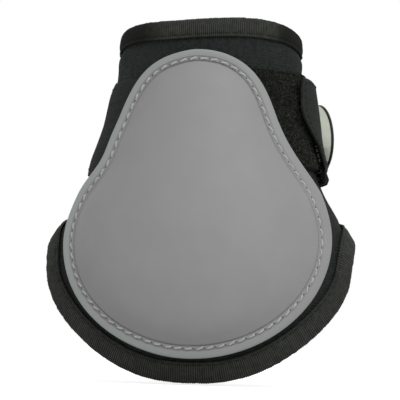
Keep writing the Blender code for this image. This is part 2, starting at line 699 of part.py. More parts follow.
def build_tab():
    """The tab at the strap's end, and the hook tape sewn to its underside."""
    rows = np.linspace(-STRAP_WIDTH / 2, STRAP_WIDTH / 2, TAB_ROWS)
    risen = (TAB_RISE, TAB_RISE)
    near = TAB_HINGE_AT - HINGE_CUT_DEG
    band("strap_tab", tab_tip(rows + TAB_RISE), near, rows, TAB_LIFT, TAB_THICK, "webbing", risen)
    inner_half = STRAP_WIDTH / 2 - HOOK_MARGIN
    rows = np.linspace(-inner_half, inner_half, TAB_ROWS)
    tip = tab_tip(rows + TAB_RISE) + HOOK_TIP_SET_BACK
    band("hook_patch", tip, HOOK_START_AT, rows, HOOK_LIFT, HOOK_THICK, "hook", risen)


def build_loop_patch():
    """The loop tape sewn to the right of the wrap, its near edge under the shell."""
    rows = np.linspace(LOOP_PATCH_TOP - LOOP_PATCH_WIDTH, LOOP_PATCH_TOP, PATCH_ROWS)
    near = shell_edge_angle(rows, STRAP_TUCK)
    band("loop_patch", near, LOOP_PATCH_END_AT, rows, LAYER_LIFT, LOOP_PATCH_THICK, "loop")


def badge_frame():
    """The badge's middle on the tab, and its directions along, up and out."""
    centre = skin(BADGE_AT, BADGE_HEIGHT, TAB_TOP + GAP)
    out = skin_normal(BADGE_AT, BADGE_HEIGHT)
    along = np.cross([0.0, 0.0, 1.0], out)
    along /= np.linalg.norm(along)
    return centre, along, np.cross(out, along), out


def badge_loop(grow, level, count):
    """An oval at a level above the badge's flat seat plane."""
    centre, along, up, out = badge_frame()
    t = np.linspace(0.0, 2 * math.pi, count, endpoint=False)[:, None]
    half_length, half_width = BADGE_HALF_LENGTH + grow, BADGE_HALF_WIDTH + grow
    return centre + along * half_length * np.cos(t) + up * half_width * np.sin(t) + out * level


def stacked(name, loops, colour):
    """A solid through a stack of loops, capped at both ends."""
    count = len(loops[0])
    points = np.vstack(loops)
    faces = []
    for r in range(len(loops) - 1):
        for k in range(count):
            after = (k + 1) % count
            here, above = r * count, (r + 1) * count
            faces.append((here + k, here + after, above + after, above + k))
    faces.append(tuple(reversed(range(count))))
    faces.append(tuple((len(loops) - 1) * count + k for k in range(count)))
    return add_solid(name, points, faces, colour)


def badge_foot(share):
    """An oval on the tab's outside, this share of the badge's size, that follows its curve."""
    _, _, up, _ = badge_frame()
    t = np.linspace(0.0, 2 * math.pi, BADGE_POINTS, endpoint=False)
    reach = float(skin_radius(BADGE_AT, BADGE_HEIGHT)) + TAB_TOP
    angle = BADGE_AT + np.degrees(share * BADGE_HALF_LENGTH * np.cos(t) / reach)
    height = BADGE_HEIGHT + share * BADGE_HALF_WIDTH * np.sin(t) * up[2]
    return skin(angle, height, TAB_TOP + GAP)


def build_badge():
    """A bare oval badge: a moulded base that follows the tab, and a thin face plate with a rim."""
    feet = [badge_foot(share) for share in BADGE_FOOT_SHARES]
    crown = badge_loop(0.0, BADGE_BASE_THICK, BADGE_POINTS)
    stacked("badge_base", [*feet, crown], "badge_base")
    low = BADGE_BASE_THICK + GAP
    high = low + BADGE_FACE_THICK
    loops = [
        badge_loop(BADGE_OVERHANG, low, BADGE_POINTS),
        badge_loop(BADGE_OVERHANG, high, BADGE_POINTS),
        badge_loop(BADGE_OVERHANG - BADGE_RIM_LIP, high + BADGE_RIM_LIP, BADGE_POINTS),
        badge_loop(BADGE_OVERHANG - BADGE_RIM, high + BADGE_RIM_LIP, BADGE_POINTS),
        badge_loop(BADGE_OVERHANG - BADGE_RIM - BADGE_RIM_LIP, high, BADGE_POINTS),
    ]
    stacked("badge_face", loops, "badge_face")


def hinge_line(angle, lift):
    """Two points of a joint's line: off the wrap's foot and off its rim, just outside a lift."""
    foot = float(lower_edge_between(abs(angle), WING_END_AT)[1][0])
    heights = np.array([foot, float(top_edge(angle))])
    return skin(np.full(2, angle), heights, np.full(2, lift + HINGE_CLEARANCE))


def add_hinge(name, angle, lift, parent, pieces):
    """An empty on a joint's line, its Z along the line, that carries the pieces that turn."""
    low, high = (Vector(point) for point in hinge_line(angle, lift))
    empty = bpy.data.objects.new(name, None)
    empty.empty_display_size = BAND_RADIUS / 2
    bpy.context.scene.collection.objects.link(empty)
    turned = (high - low).to_track_quat("Z", "Y").to_matrix().to_4x4()
    place = Matrix.Translation((low + high) / 2) @ turned
    if parent is not None:
        empty.parent = parent
        empty.matrix_parent_inverse = parent.matrix_world.inverted()
    empty.matrix_world = place
    bpy.context.view_layer.update()
    for piece in pieces:
        obj = bpy.data.objects[piece]
        obj.parent = empty
        obj.matrix_parent_inverse = empty.matrix_world.inverted()
    return empty


def build_joints():
    """The joint lines: each wing's, the strap's where its seam ends, and the tab's."""
    right = ["neoprene_right_wing", "top_binding_right", "bottom_binding_right", "end_binding_right"]
    left = ["neoprene_left_wing", "top_binding_left", "bottom_binding_left", "end_binding_left"]
    wing = add_hinge("left_wing_flex", -WING_HINGE_AT, TAPE_TOP, None, [*left, "strap_sewn"])
    add_hinge("right_wing_flex", WING_HINGE_AT, TAPE_TOP, None, right)
    seam_top = STRAP_OVER_TAPE + STRAP_THICK
    strap = add_hinge("strap_swing", -STRAP_HINGE_AT, seam_top, wing, ["strap_band"])
    tab = ["strap_tab", "hook_patch", "badge_base", "badge_face"]
    add_hinge("tab_peel", TAB_HINGE_AT, TAB_TOP, strap, tab)


def clear_scene():
    """Removes what a new file holds."""
    for obj in list(bpy.data.objects):
        bpy.data.objects.remove(obj)


clear_scene()
build_wrap()
build_binding()
build_shell()
build_pad()
build_loop_patch()
build_strap()
build_tab()
build_badge()
build_joints()
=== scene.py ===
import math

import bpy
import numpy as np
from mathutils import Matrix, Vector


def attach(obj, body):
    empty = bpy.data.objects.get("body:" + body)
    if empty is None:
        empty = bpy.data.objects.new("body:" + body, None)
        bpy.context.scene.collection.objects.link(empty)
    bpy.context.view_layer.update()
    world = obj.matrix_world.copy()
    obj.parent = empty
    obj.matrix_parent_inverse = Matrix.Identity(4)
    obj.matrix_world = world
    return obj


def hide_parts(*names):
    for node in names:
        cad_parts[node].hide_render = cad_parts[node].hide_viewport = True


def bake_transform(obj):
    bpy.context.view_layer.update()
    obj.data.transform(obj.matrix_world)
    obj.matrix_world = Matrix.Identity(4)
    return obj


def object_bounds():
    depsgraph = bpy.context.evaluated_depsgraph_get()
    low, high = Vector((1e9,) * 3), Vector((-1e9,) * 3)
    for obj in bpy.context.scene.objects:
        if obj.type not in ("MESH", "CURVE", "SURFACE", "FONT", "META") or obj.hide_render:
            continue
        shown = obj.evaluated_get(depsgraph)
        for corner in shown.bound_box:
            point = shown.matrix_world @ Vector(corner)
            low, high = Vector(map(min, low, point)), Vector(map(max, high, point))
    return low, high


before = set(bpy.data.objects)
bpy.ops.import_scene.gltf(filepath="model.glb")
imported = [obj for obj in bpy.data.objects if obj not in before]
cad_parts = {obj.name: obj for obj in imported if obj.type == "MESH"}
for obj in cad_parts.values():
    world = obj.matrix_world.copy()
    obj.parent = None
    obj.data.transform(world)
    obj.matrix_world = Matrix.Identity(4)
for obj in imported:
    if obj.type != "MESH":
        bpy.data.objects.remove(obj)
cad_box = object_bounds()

# The view: a long lens, a little to the right of the shell's middle and low down, as in the
# photograph. The boot stands on a plain pale floor under one broad soft lamp and an even sky.
LOOK_AT, STANDS_OFF = Vector((-0.00232, 0.0, -0.02887)), 0.9
TURNED, RAISED, ROLLED = math.radians(5.955), math.radians(-4.0), math.radians(1.692)
SKY_LIGHT, FLOOR_HALF, FLOOR_BELOW, FLOOR_TONE, FLOOR_GLOW = 0.55, 6.0, 0.0006, 0.86, 0.72
scene = bpy.context.scene
away = Vector((math.sin(TURNED) * math.cos(RAISED), -math.cos(TURNED) * math.cos(RAISED),
               math.sin(RAISED)))
right = Vector((math.cos(TURNED), math.sin(TURNED), 0.0))
up = away.cross(right)
side = right * math.cos(ROLLED) + up * math.sin(ROLLED)
top = up * math.cos(ROLLED) - right * math.sin(ROLLED)
lens = bpy.data.cameras.new("camera")
lens.lens, lens.sensor_width, lens.clip_start = 180.0, 36.0, 0.01
camera = bpy.data.objects.new("camera", lens)
place = Matrix((side, top, away)).transposed().to_4x4()
place.translation = LOOK_AT + away * STANDS_OFF
camera.matrix_world = place
scene.collection.objects.link(camera)
scene.camera = camera
scene.view_settings.view_transform = "Standard"


def wire(tree, node, *values, **named):
    """Sets a node's inputs, by number or by name with _ for a space, each to a value or to a link
    from another node's output. A name in lower case is one of the node's own choices."""
    for name in filter(str.islower, named):
        setattr(node, name, named[name])
    inputs = {name.replace("_", " "): named[name] for name in named if not name.islower()}
    for name, value in (*enumerate(values), *inputs.items()):
        if isinstance(value, bpy.types.NodeSocket):
            tree.links.new(value, node.inputs[name])
        else:
            node.inputs[name].default_value = value
    return node.outputs


def add_node(tree, kind, *values, **named):
    """A new node of that kind, wired in the same way. It gives the node's outputs."""
    return wire(tree, tree.nodes.new("ShaderNode" + kind), *values, **named)


sky = bpy.data.worlds.new("even_sky")
sky.use_nodes = True
tree = sky.node_tree
white = wire(tree, tree.nodes["Background"], Color=(1, 1, 1, 1), Strength=1.0)
dimmer = add_node(tree, "Background", Color=(1, 1, 1, 1), Strength=SKY_LIGHT)
path = add_node(tree, "LightPath")
either = add_node(tree, "Math", path["Is Camera Ray"], path["Is Glossy Ray"], operation="MAXIMUM")
seen = add_node(tree, "Math", either[0], path["Is Transmission Ray"], operation="MAXIMUM")
chosen = add_node(tree, "MixShader", seen[0], dimmer[0], white[0])
wire(tree, tree.nodes["World Output"], Surface=chosen[0])
scene.world = sky

lamp = bpy.data.lights.new("soft_lamp", "AREA")
lamp.shape, lamp.size, lamp.size_y, lamp.energy = "RECTANGLE", 0.9, 0.7, 5.3
lamp_stand = bpy.data.objects.new("soft_lamp", lamp)
lamp_stand.location = (0.45, -0.75, 0.65)
lamp_stand.rotation_euler = (LOOK_AT - lamp_stand.location).to_track_quat("-Z", "Y").to_euler()
scene.collection.objects.link(lamp_stand)

floor_mesh = bpy.data.meshes.new("floor")
floor_mesh.from_pydata([(x * FLOOR_HALF, y * FLOOR_HALF, cad_box[0].z - FLOOR_BELOW)
                        for x, y in ((-1, -1), (1, -1), (1, 1), (-1, 1))], [], [(0, 1, 2, 3)])
floor = bpy.data.objects.new("floor", floor_mesh)
scene.collection.objects.link(floor)
pale = bpy.data.materials.new("pale_floor")
pale.use_nodes = True
tree = pale.node_tree
matt = wire(tree, tree.nodes["Principled BSDF"], Base_Color=(FLOOR_TONE, FLOOR_TONE, FLOOR_TONE, 1),
            Roughness=1.0, Specular_IOR_Level=0.0)
path = add_node(tree, "LightPath")
if_seen = add_node(tree, "Math", path["Is Camera Ray"], FLOOR_GLOW, operation="MULTIPLY")
glow = add_node(tree, "Emission", Strength=if_seen[0])
wire(tree, tree.nodes["Material Output"], Surface=add_node(tree, "AddShader", matt[0], glow[0])[0])
floor_mesh.materials.append(pale)


# Neoprene wrap: one 5 mm sheet of foam rubber faced with knit nylon, with a round lobe at the
# foot for the fetlock. It is cut flat, bound all round with tape and wrapped round the leg.
SIDES = (("left", -1), ("right", 1))
RIM_HEIGHT, RIM_FRONT_RISE, RIM_TILT = 0.0408, 0.0055, 0.0028
BAND_FOOT, BAND_BACK_RISE = -0.0466, 0.0030
LOBE_WIDEST, LOBE_FOOT = -0.0626, -0.1095
COLLAR_RADIUS, BAND_RADIUS, FETLOCK_DEPTH, LOBE_RADIUS = 0.0397, 0.0514, 0.0585, 0.0761
SKIRT_FLARE, SKIRT_START, SKIRT_END, SKIRT_FADES_FROM = 0.0205, -0.0270, -0.0599, 90.0
TOE_CURL, LOBE_ROUNDING_START, LOBE_ROUNDING_END = 0.0140, 0.0267, -0.0693
FRONT_ENDS_AT, BACK_STARTS_AT, RIM_RISE_ENDS_AT = 50.0, 112.0, 100.0
LOBE_EDGE_AT, LOBE_CORNER_SPAN, WING_HINGE_AT, WING_END_AT = 71.6, 22.6, 120.0, 177.0
CONE_SWELL_SHARE, RIM_RISE_SHARE, LOBE_SIDE_SHARE, LOBE_FOOT_SHARE = 1.29, 1.78, 2.79, 1.235
LOWEST, CORNERS_EASED_OVER, LEFT_RIM_RISE = -0.1097, 0.020, 0.0038
RIGHT_LEAN, COLLAR_BULGE, SKIRT_BULGE, LEFT_LEAN = 0.0010, 0.0007, 0.0020, 0.0006
NEOPRENE_THICK, TAPE_THICK, GAP = 0.0050, 0.0008, 0.0003
TOP_TAPE_LEG, END_TAPE_LEG, FOOT_TAPE_LEG = 0.0074, 0.0085, 0.0102
FOLD_DEPTH, FOLD_SQUARENESS, SEAM_DIP, SEAM_DIP_WIDE = 0.0022, 2.8, 0.0005, 0.0035
WRAP_STEP, WRAP_ROWS, ROWS_CLOSER, TAPE_SWELL, KNIT_WOBBLE = 0.0016, 81, 0.35, 0.0009, 0.00012


def smooth(share):
    """0 up to share 0, 1 from share 1, and share squared times (3 - 2 share) between."""
    share = np.clip(share, 0.0, 1.0)
    return share * share * (3.0 - 2.0 * share)


def bell(value, middle, wide):
    """1 at the middle, and e to the minus square of the way from it over the width elsewhere."""
    return np.exp(-(((value - middle) / wide) ** 2))


def unit(vectors):
    """Each vector divided by its length."""
    return vectors / np.linalg.norm(vectors, axis=-1, keepdims=True)


def run_along(points):
    """The way along a line of points from its first: 0, then the sum of the steps up to each."""
    return np.concatenate([[0.0], np.cumsum(np.linalg.norm(np.diff(points, axis=0), axis=-1))])


def skin_radius(angle, height):
    """Leg's axis to the wrap's outside: a big circle set back behind the shell for the front,
    a cone that flares to a skirt for the back, and a smooth change from one to the other. The
    collar leans a little to the right."""
    turn = np.radians(np.abs(angle))
    bulge = smooth((RIM_HEIGHT - height) / (RIM_HEIGHT - LOBE_WIDEST))
    curl = np.clip((LOBE_WIDEST - height) / (LOBE_WIDEST - LOBE_FOOT), 0.0, None) ** 2
    depth = COLLAR_RADIUS + (FETLOCK_DEPTH - COLLAR_RADIUS) * bulge - TOE_CURL * curl
    spread = smooth((LOBE_ROUNDING_START - height) / (LOBE_ROUNDING_START - LOBE_ROUNDING_END))
    round_off = np.maximum(COLLAR_RADIUS + (LOBE_RADIUS - COLLAR_RADIUS) * spread, depth)
    centre = round_off - depth
    front = np.sqrt(round_off**2 - (centre * np.sin(turn)) ** 2) - centre * np.cos(turn)
    down = np.clip((RIM_HEIGHT - height) / (RIM_HEIGHT - BAND_FOOT), 0.0, None)
    back = COLLAR_RADIUS + (BAND_RADIUS - COLLAR_RADIUS) * down**CONE_SWELL_SHARE
    fade = 1.0 - smooth((np.abs(angle) - SKIRT_FADES_FROM) / (WING_HINGE_AT - SKIRT_FADES_FROM))
    back = back + fade * SKIRT_FLARE * smooth((SKIRT_START - height) / (SKIRT_START - SKIRT_END))
    rear = smooth((np.abs(angle) - FRONT_ENDS_AT) / (BACK_STARTS_AT - FRONT_ENDS_AT))
    right = (RIGHT_LEAN * smooth((height + 0.012) / 0.030) + COLLAR_BULGE * bell(height, 0.0060, 0.0140)
             + SKIRT_BULGE * bell(height, -0.0340, 0.0100))
    lean = np.where(np.asarray(angle) > 0.0, right, -LEFT_LEAN * smooth((height - 0.024) / 0.012))
    return front + (back - front) * rear + lean * np.sin(turn) ** 2


def skin_base(angle, height):
    """A point at that radius: x is radius times sine, y is minus radius times cosine."""
    angle, height = np.broadcast_arrays(np.asarray(angle, float), np.asarray(height, float))
    turn, reach = np.radians(angle), skin_radius(angle, height)
    return np.stack([reach * np.sin(turn), -reach * np.cos(turn), height], axis=-1)


def skin_slopes(angle, height):
    """Central differences of that point: per degree of angle and per metre of height."""
    wide, small = 0.05, 0.00004
    by_angle = (skin_base(angle + wide, height) - skin_base(angle - wide, height)) / (2 * wide)
    by_height = (skin_base(angle, height + small) - skin_base(angle, height - small)) / (2 * small)
    return by_angle, by_height


def skin(angle, height, lift=0.0):
    """Skin point plus lift times the unit normal, which is slope by angle cross slope by height."""
    angle, height = np.broadcast_arrays(np.asarray(angle, float), np.asarray(height, float))
    normal = unit(np.cross(*skin_slopes(angle, height)))
    return skin_base(angle, height) + np.asarray(lift, float)[..., None] * normal


def top_edge(angle):
    """Rim height plus half a cosine wave over the shell, tilted up to the right, and on the left a
    smooth rise to the side that fades again towards the back."""
    turn = np.clip(np.abs(angle) / RIM_RISE_ENDS_AT, 0.0, 1.0) ** RIM_RISE_SHARE
    left = LEFT_RIM_RISE * smooth((-10.0 - angle) / 75.0) * (1.0 - smooth((-100.0 - angle) / 60.0))
    wave = 0.5 + 0.5 * np.cos(math.pi * turn)
    return RIM_HEIGHT + RIM_FRONT_RISE * wave + RIM_TILT * np.sin(np.radians(angle)) + left


def even(angle, height, step, whole=1):
    """The same curve at even steps of about that length, a whole number of them."""
    run = run_along(skin_base(angle, height))
    count = whole * max(1, round(run[-1] / step / whole))
    wanted = np.linspace(0.0, run[-1], count + 1)
    return np.interp(wanted, run, angle), np.interp(wanted, run, height), wanted


def lower_edge(points=4000, step=0.00025):
    """The foot from the lobe's middle to the closing end: a squared oval for the lobe, a quarter
    oval that turns out of it, and a nearly level run, all eased by a weighted running mean."""
    swing = np.linspace(0.0, math.pi / 2, points)
    lobe = (LOBE_EDGE_AT * np.sin(swing) ** (2.0 / LOBE_SIDE_SHARE),
            LOBE_WIDEST + (LOWEST - LOBE_WIDEST) * np.cos(swing) ** (2.0 / LOBE_FOOT_SHARE))
    corner = (LOBE_EDGE_AT + LOBE_CORNER_SPAN * (1.0 - np.cos(swing)),
              LOBE_WIDEST + (BAND_FOOT - LOBE_WIDEST) * np.sin(swing))
    level = np.linspace(LOBE_EDGE_AT + LOBE_CORNER_SPAN, WING_END_AT, points)
    rise = BAND_FOOT + BAND_BACK_RISE * smooth((level - level[0]) / (WING_END_AT - level[0]))
    angle, height, _ = even(np.concatenate([lobe[0], corner[0][1:], level[1:]]),
                            np.concatenate([lobe[1], corner[1][1:], rise[1:]]), step)
    half = int(CORNERS_EASED_OVER / step / 2)
    weight = np.hanning(2 * half + 3)[1:-1]
    weight = weight / weight.sum()
    angle = np.concatenate([-angle[half:0:-1], angle, 2 * angle[-1] - angle[-2:-half - 2:-1]])
    height = np.concatenate([height[half:0:-1], height, height[-2:-half - 2:-1]])
    return np.convolve(angle, weight, "valid"), np.convolve(height, weight, "valid")


def mesh_piece(name, points, quads, uv=None, sharp=40.0, triangles=(), groove=None):
    """A named object from points and faces, turned so that the volume it closes is positive. The
    groove attribute, 0 to 1, tells its material where to paint light or shade: painted shade in the
    furrows of a weave, at the sides of the top tape and under the loop pile, painted light on the
    shell's lip."""
    points, quads = np.asarray(points, float).reshape(-1, 3), np.asarray(quads)
    triangles = np.asarray(triangles, int).reshape(-1, 3)
    halves = np.concatenate([quads[:, :3], quads[:, [0, 2, 3]], triangles])
    if np.sum(points[halves[:, 0]] * np.cross(points[halves[:, 1]], points[halves[:, 2]])) < 0:
        quads, triangles = quads[:, ::-1], triangles[:, ::-1]
    mesh = bpy.data.meshes.new(name)
    mesh.from_pydata(points.tolist(), [], quads.tolist() + triangles.tolist())
    if uv is not None:
        corners = np.concatenate([quads.ravel(), triangles.ravel()])
        uv = np.asarray(uv, np.float32).reshape(-1, 2)[corners]
        mesh.uv_layers.new(name="run").data.foreach_set("uv", uv.ravel())
    if groove is not None:
        furrows = mesh.attributes.new("groove", "FLOAT", "POINT")
        furrows.data.foreach_set("value", np.asarray(groove, np.float32).ravel())
    mesh.shade_smooth()
    mesh.set_sharp_from_angle(angle=math.radians(sharp))
    mesh.update()
    piece = bpy.data.objects.new(name, mesh)
    scene.collection.objects.link(piece)
    return piece


def grid_faces(across, along, ring_along=False, first=0):
    """Quads of a grid of across by along points, numbered row by row; a ring joins its ends."""
    i, j = np.arange(across - 1)[:, None], np.arange(along if ring_along else along - 1)[None, :]
    k, m = i + 1, (j + 1) % along
    quads = np.stack([i * along + j, k * along + j, k * along + m, i * along + m], axis=-1)
    return first + quads.reshape(-1, 4)


def border_of(across, along):
    """The numbers of a grid's border points, in order round it."""
    return np.concatenate([np.arange(across) * along, (across - 1) * along + np.arange(1, along),
                           np.arange(across - 2, -1, -1) * along + along - 1,
                           np.arange(along - 2, 0, -1)])


def layer_piece(name, outer, inner, uv, step=1, groove=None):
    """A closed sheet between two grids of points, the inner one coarser by a whole step. Its walls
    are triangles from each border point to the nearest coarse one, and one where that changes."""
    face, back = grid_faces(*outer.shape[:2]), outer.shape[0] * outer.shape[1]
    fine, coarse = border_of(*outer.shape[:2]), border_of(*inner.shape[:2]) + back
    near = coarse[(np.arange(len(fine)) + step // 2) // step % len(coarse)]
    after, near_after = np.roll(fine, -1), np.roll(near, -1)
    walls = np.concatenate([np.stack([after, fine, near], axis=-1),
                            np.stack([after, near, near_after], axis=-1)[near != near_after]])
    quads = np.concatenate([face, grid_faces(*inner.shape[:2], first=back)[:, ::-1]])
    if groove is not None:
        groove = np.concatenate([groove.ravel(), groove[::step, ::step].ravel() * 0.0])
    return mesh_piece(name, np.concatenate([outer.reshape(-1, 3), inner.reshape(-1, 3)]), quads,
                      np.concatenate([uv.reshape(-1, 2), uv[::step, ::step].reshape(-1, 2)]), 60.0,
                      walls, groove)


def colour(shown):
    """A display colour, 0 to 255, as the light it stands for."""
    share = np.array(shown) / 255.0
    light = np.where(share <= 0.04045, share / 12.92, ((share + 0.055) / 1.055) ** 2.4)
    return (*light.tolist(), 1.0)


def finish_material(name, dark, light, scale, roughness, weave=None, grain=(900.0, 0.05), patchy=0.5,
                    shine=0.12, groove=0.0, painted_tone=None):
    """A surface whose colour wanders between two tones, with a fine grain. Where weave is given, a
    knit of two crossed waves along the piece's own run, in threads per metre; where groove is
    given, the places the groove attribute marks are painted darker by that share as painted shade,
    or take a painted tone of their own, which is painted shade under the loop pile and painted
    light on the shell's lip."""
    made = bpy.data.materials.new(name)
    made.use_nodes = True
    tree, dark = made.node_tree, colour(dark)
    where = add_node(tree, "TexCoord")
    blotch = add_node(tree, "TexNoise", Vector=where["Object"], Scale=scale, Detail=4.0)
    spread = add_node(tree, "MapRange", Value=blotch["Fac"], From_Min=0.5 - patchy / 2,
                      From_Max=0.5 + patchy / 2)
    tone = add_node(tree, "Mix", data_type="RGBA", Factor=spread["Result"], A=dark,
                    B=colour(light))["Result"]
    # Painted light and shade: the tone of the places that the groove attribute marks.
    if groove or painted_tone:
        furrow = add_node(tree, "Attribute", attribute_name="groove")
        deep = colour(painted_tone) if painted_tone else (*(v * (1.0 - groove) for v in dark[:3]), 1.0)
        tone = add_node(tree, "Mix", data_type="RGBA", Factor=furrow["Fac"], A=tone, B=deep)["Result"]
    fine = add_node(tree, "TexNoise", Vector=where["Object"], Scale=grain[0], Detail=3.0)
    bump = add_node(tree, "Bump", Strength=1.0, Distance=grain[1] * 0.001, Height=fine["Fac"])
    if weave:
        run = add_node(tree, "SeparateXYZ", where["UV"])
        turns = [add_node(tree, "Math", run[axis], threads * 2 * math.pi, operation="MULTIPLY")
                 for axis, threads in zip("XY", weave)]
        waves = [add_node(tree, "Math", turn[0], operation="SINE")[0] for turn in turns]
        cross = add_node(tree, "Math", *waves, operation="MULTIPLY")
        bump = add_node(tree, "Bump", Strength=1.0, Distance=weave[2], Height=cross[0],
                        Normal=bump["Normal"])
    wire(tree, tree.nodes["Principled BSDF"], Base_Color=tone, Roughness=roughness,
         Specular_IOR_Level=shine, Normal=bump["Normal"])
    return made


def dress(piece, finish, slot, moves, *stands_for):
    """Gives a piece its material and hides the solids it stands for. When moves names a body the
    piece rides on it; given two bodies and two places instead, it is baked where it stands. The
    slot is not used."""
    piece.data.materials.append(finish)
    if stands_for:
        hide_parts(*stands_for)
    if isinstance(moves, str):
        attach(piece, moves)
    else:
        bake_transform(piece)


def edge_drop(inset, leg):
    """How far a face of the wrap falls towards its middle near a bound edge: a squared quarter oval
    as deep as the fold, then a shallow dip where the tape's stitches pull the foam in."""
    across = np.clip(1.0 - inset / FOLD_DEPTH, 0.0, 1.0)
    nose = (1.0 - across**FOLD_SQUARENESS) ** (1.0 / FOLD_SQUARENESS)
    dip = SEAM_DIP * (1.0 - smooth((inset - leg) / SEAM_DIP_WIDE))
    return (1.0 - nose) * NEOPRENE_THICK / 2 + dip


def bend(first, second, angles, height, lift):
    """A bend from the first body to the second, between the skin points at two angles."""
    return (first, second, *(tuple(skin(angle, height, lift).tolist()) for angle in angles))


neoprene_cloth = finish_material("knit_faced_neoprene", (33, 37, 35), (51, 56, 53), 620.0, 0.85,
                                 (760.0, 760.0, 0.00022), (2600.0, 0.10), 0.5)
wing_bends = {word: bend("root", f"{word}_wing", (turned * 106.0, turned * 134.0), -0.002, 0.0011)
              for word, turned in SIDES}


def wrap_half(word, turned):
    """One half of the wrap: columns run from the foot, at even steps, up to the rim, and both faces
    fall together towards every bound edge."""
    foot_angle, foot_height = lower_edge()
    split = np.searchsorted(foot_angle, WING_HINGE_AT)
    front = even(foot_angle[:split], foot_height[:split], WRAP_STEP)
    wing = even(foot_angle[split - 1:], foot_height[split - 1:], WRAP_STEP)
    low_angle = turned * np.concatenate([front[0], wing[0][1:]])
    low_height = np.concatenate([front[1], wing[1][1:]])
    high_angle = turned * np.concatenate([np.linspace(0.0, WING_HINGE_AT, len(front[0])),
                                          np.linspace(WING_HINGE_AT, WING_END_AT, len(wing[0]))[1:]])
    rise = np.linspace(0.0, 1.0, WRAP_ROWS)
    rise = (rise + ROWS_CLOSER * np.sin(2 * math.pi * rise) / (-2 * math.pi))[None, :]
    high_height = top_edge(high_angle)
    angle = low_angle[:, None] + (high_angle - low_angle)[:, None] * rise
    height = low_height[:, None] + (high_height - low_height)[:, None] * rise
    place = skin_base(angle, height)
    up_run = np.cumsum(np.linalg.norm(np.diff(place, axis=1, prepend=place[:, :1]), axis=-1), axis=1)
    nearest = []
    for line in (place[:, 0], skin_base(high_angle, high_height), place[-1]):
        gap = [np.linalg.norm(place[:, :, None] - line[None, None, k:k + 8], axis=-1).min(axis=2)
               for k in range(0, len(line), 8)]
        nearest.append(np.min(gap, axis=0))
    legs = (FOOT_TAPE_LEG, TOP_TAPE_LEG, END_TAPE_LEG)
    drop = np.maximum.reduce([edge_drop(gap, leg) for gap, leg in zip(nearest, legs)])
    side = smooth((np.abs(angle) - 45.0) / 20.0)
    swell = TAPE_SWELL * bell(nearest[1] - TOP_TAPE_LEG, 0.0034, 0.0042) * side
    inside = smooth((np.minimum.reduce(nearest) - END_TAPE_LEG) / 0.004)
    wobble = np.sin(angle * 0.31 + height * 150.0) * np.cos(angle * 0.13 - height * 210.0 + 1.0)
    wobble = (KNIT_WOBBLE * wobble - KNIT_WOBBLE) * inside + swell
    middle = place[:, WRAP_ROWS // 2]
    across_run = np.broadcast_to(run_along(middle)[:, None], angle.shape)
    half = layer_piece(f"neoprene_{word}", skin(angle, height, wobble - drop),
                       skin(angle, height, drop - NEOPRENE_THICK),
                       np.stack([across_run, up_run], axis=-1))
    dress(half, neoprene_cloth, "neoprene", wing_bends[word], "neoprene_front_panel",
          f"neoprene_{word}_wing")


for word, turned in SIDES:
    wrap_half(word, turned)


# Binding tape: ribbed nylon tape 20 mm wide, folded over every edge of the wrap and sewn through
# near its inner edge. Its cords lie across the tape, so the fold has a fine scalloped outline.
RIB_PITCH, TOP_RIB_PITCH, RIB_HEIGHT, RIB_VARIES = 0.00096, 0.00084, 0.00026, 0.00005
# The last number is how much darker the top tape is painted at its sides: painted shade.
STEPS_PER_RIB, LUMP_PITCH, LUMP_HEIGHT, PAINTED_SIDE_SHADE = 6, 0.0021, 0.00006, 0.90
END_TAPE_CLEAR, EDGE_POINTS = 0.0009, 3000
LEG_STATIONS = [0.0, 0.00012, 0.0004, 0.0007, 0.0010, 0.0013, 0.0016, 0.0020, 0.0026, 0.0038, 0.0052]
LEG_SINKS = [0.00050, 0.00015, 0.0, 0.00003, 0.00024, 0.00044, 0.00024, 0.0, -0.00014, -0.00022,
             -0.00012]
# Painted shade: the binding's cord furrows are painted 90 % darker.
binding_cloth = finish_material("ribbed_binding", (50, 52, 48), (72, 74, 69), 420.0, 0.75, None,
                                (3200.0, 0.06), 0.5, 0.14, 0.9)


def moved_in(angle, height, distance, inward):
    """The edge curve moved across the skin by a distance to the left of its run, or to the right."""
    by_angle, by_height = skin_slopes(angle, height)
    run = np.gradient(skin_base(angle, height), axis=0)
    across = inward * np.cross(unit(np.cross(by_angle, by_height)), unit(run))
    aa, ah, hh, ca, ch = (np.sum(p * q, axis=-1) for p, q in (
        (by_angle, by_angle), (by_angle, by_height), (by_height, by_height), (by_angle, across),
        (by_height, across)))
    spread = aa * hh - ah * ah
    return (angle + distance * (hh * ca - ah * ch) / spread,
            height + distance * (aa * ch - ah * ca) / spread)


def squared_oval(turn):
    """How far out and how far up a squared oval reaches: powers of the cosine and of the sine."""
    sine, power = np.sin(turn), 2 / FOLD_SQUARENESS
    return np.cos(turn) ** power, np.sign(sine) * np.abs(sine) ** power


def tape_profile(tape_leg):
    """The folded tape in section: distance in from the edge, lift, and how far a cord stands out in
    each direction. Two flat legs join in half a squared oval, and each leg has a sewn groove."""
    deep, high = FOLD_DEPTH + GAP + TAPE_THICK, NEOPRENE_THICK / 2 + GAP + TAPE_THICK
    leg, sunk = np.array(LEG_STATIONS), np.array(LEG_SINKS)
    turn = np.linspace(math.pi / 2, -math.pi / 2, 15)[1:-1]
    near, out = squared_oval(turn)
    face = np.stack([tape_leg - leg, high - sunk, leg * 0.0, leg * 0.0 + 1.0], axis=1)
    nose = np.stack([FOLD_DEPTH - deep * near, high * out, -np.cos(turn), np.sin(turn)], axis=1)
    outside = np.concatenate([face, nose, face[::-1] * (1.0, -1.0, 1.0, -1.0)])
    near, out = squared_oval(np.linspace(-math.pi / 2, math.pi / 2, 9))
    deep, high = deep - TAPE_THICK, high - TAPE_THICK
    inside = np.stack([FOLD_DEPTH - deep * near, high * out, near * 0.0, near * 0.0], axis=1)
    full = np.concatenate([outside, [(tape_leg, -high, 0.0, 0.0)], inside, [(tape_leg, high, 0.0, 0.0)]])
    full[:, 1] += -NEOPRENE_THICK / 2
    return full, len(outside)


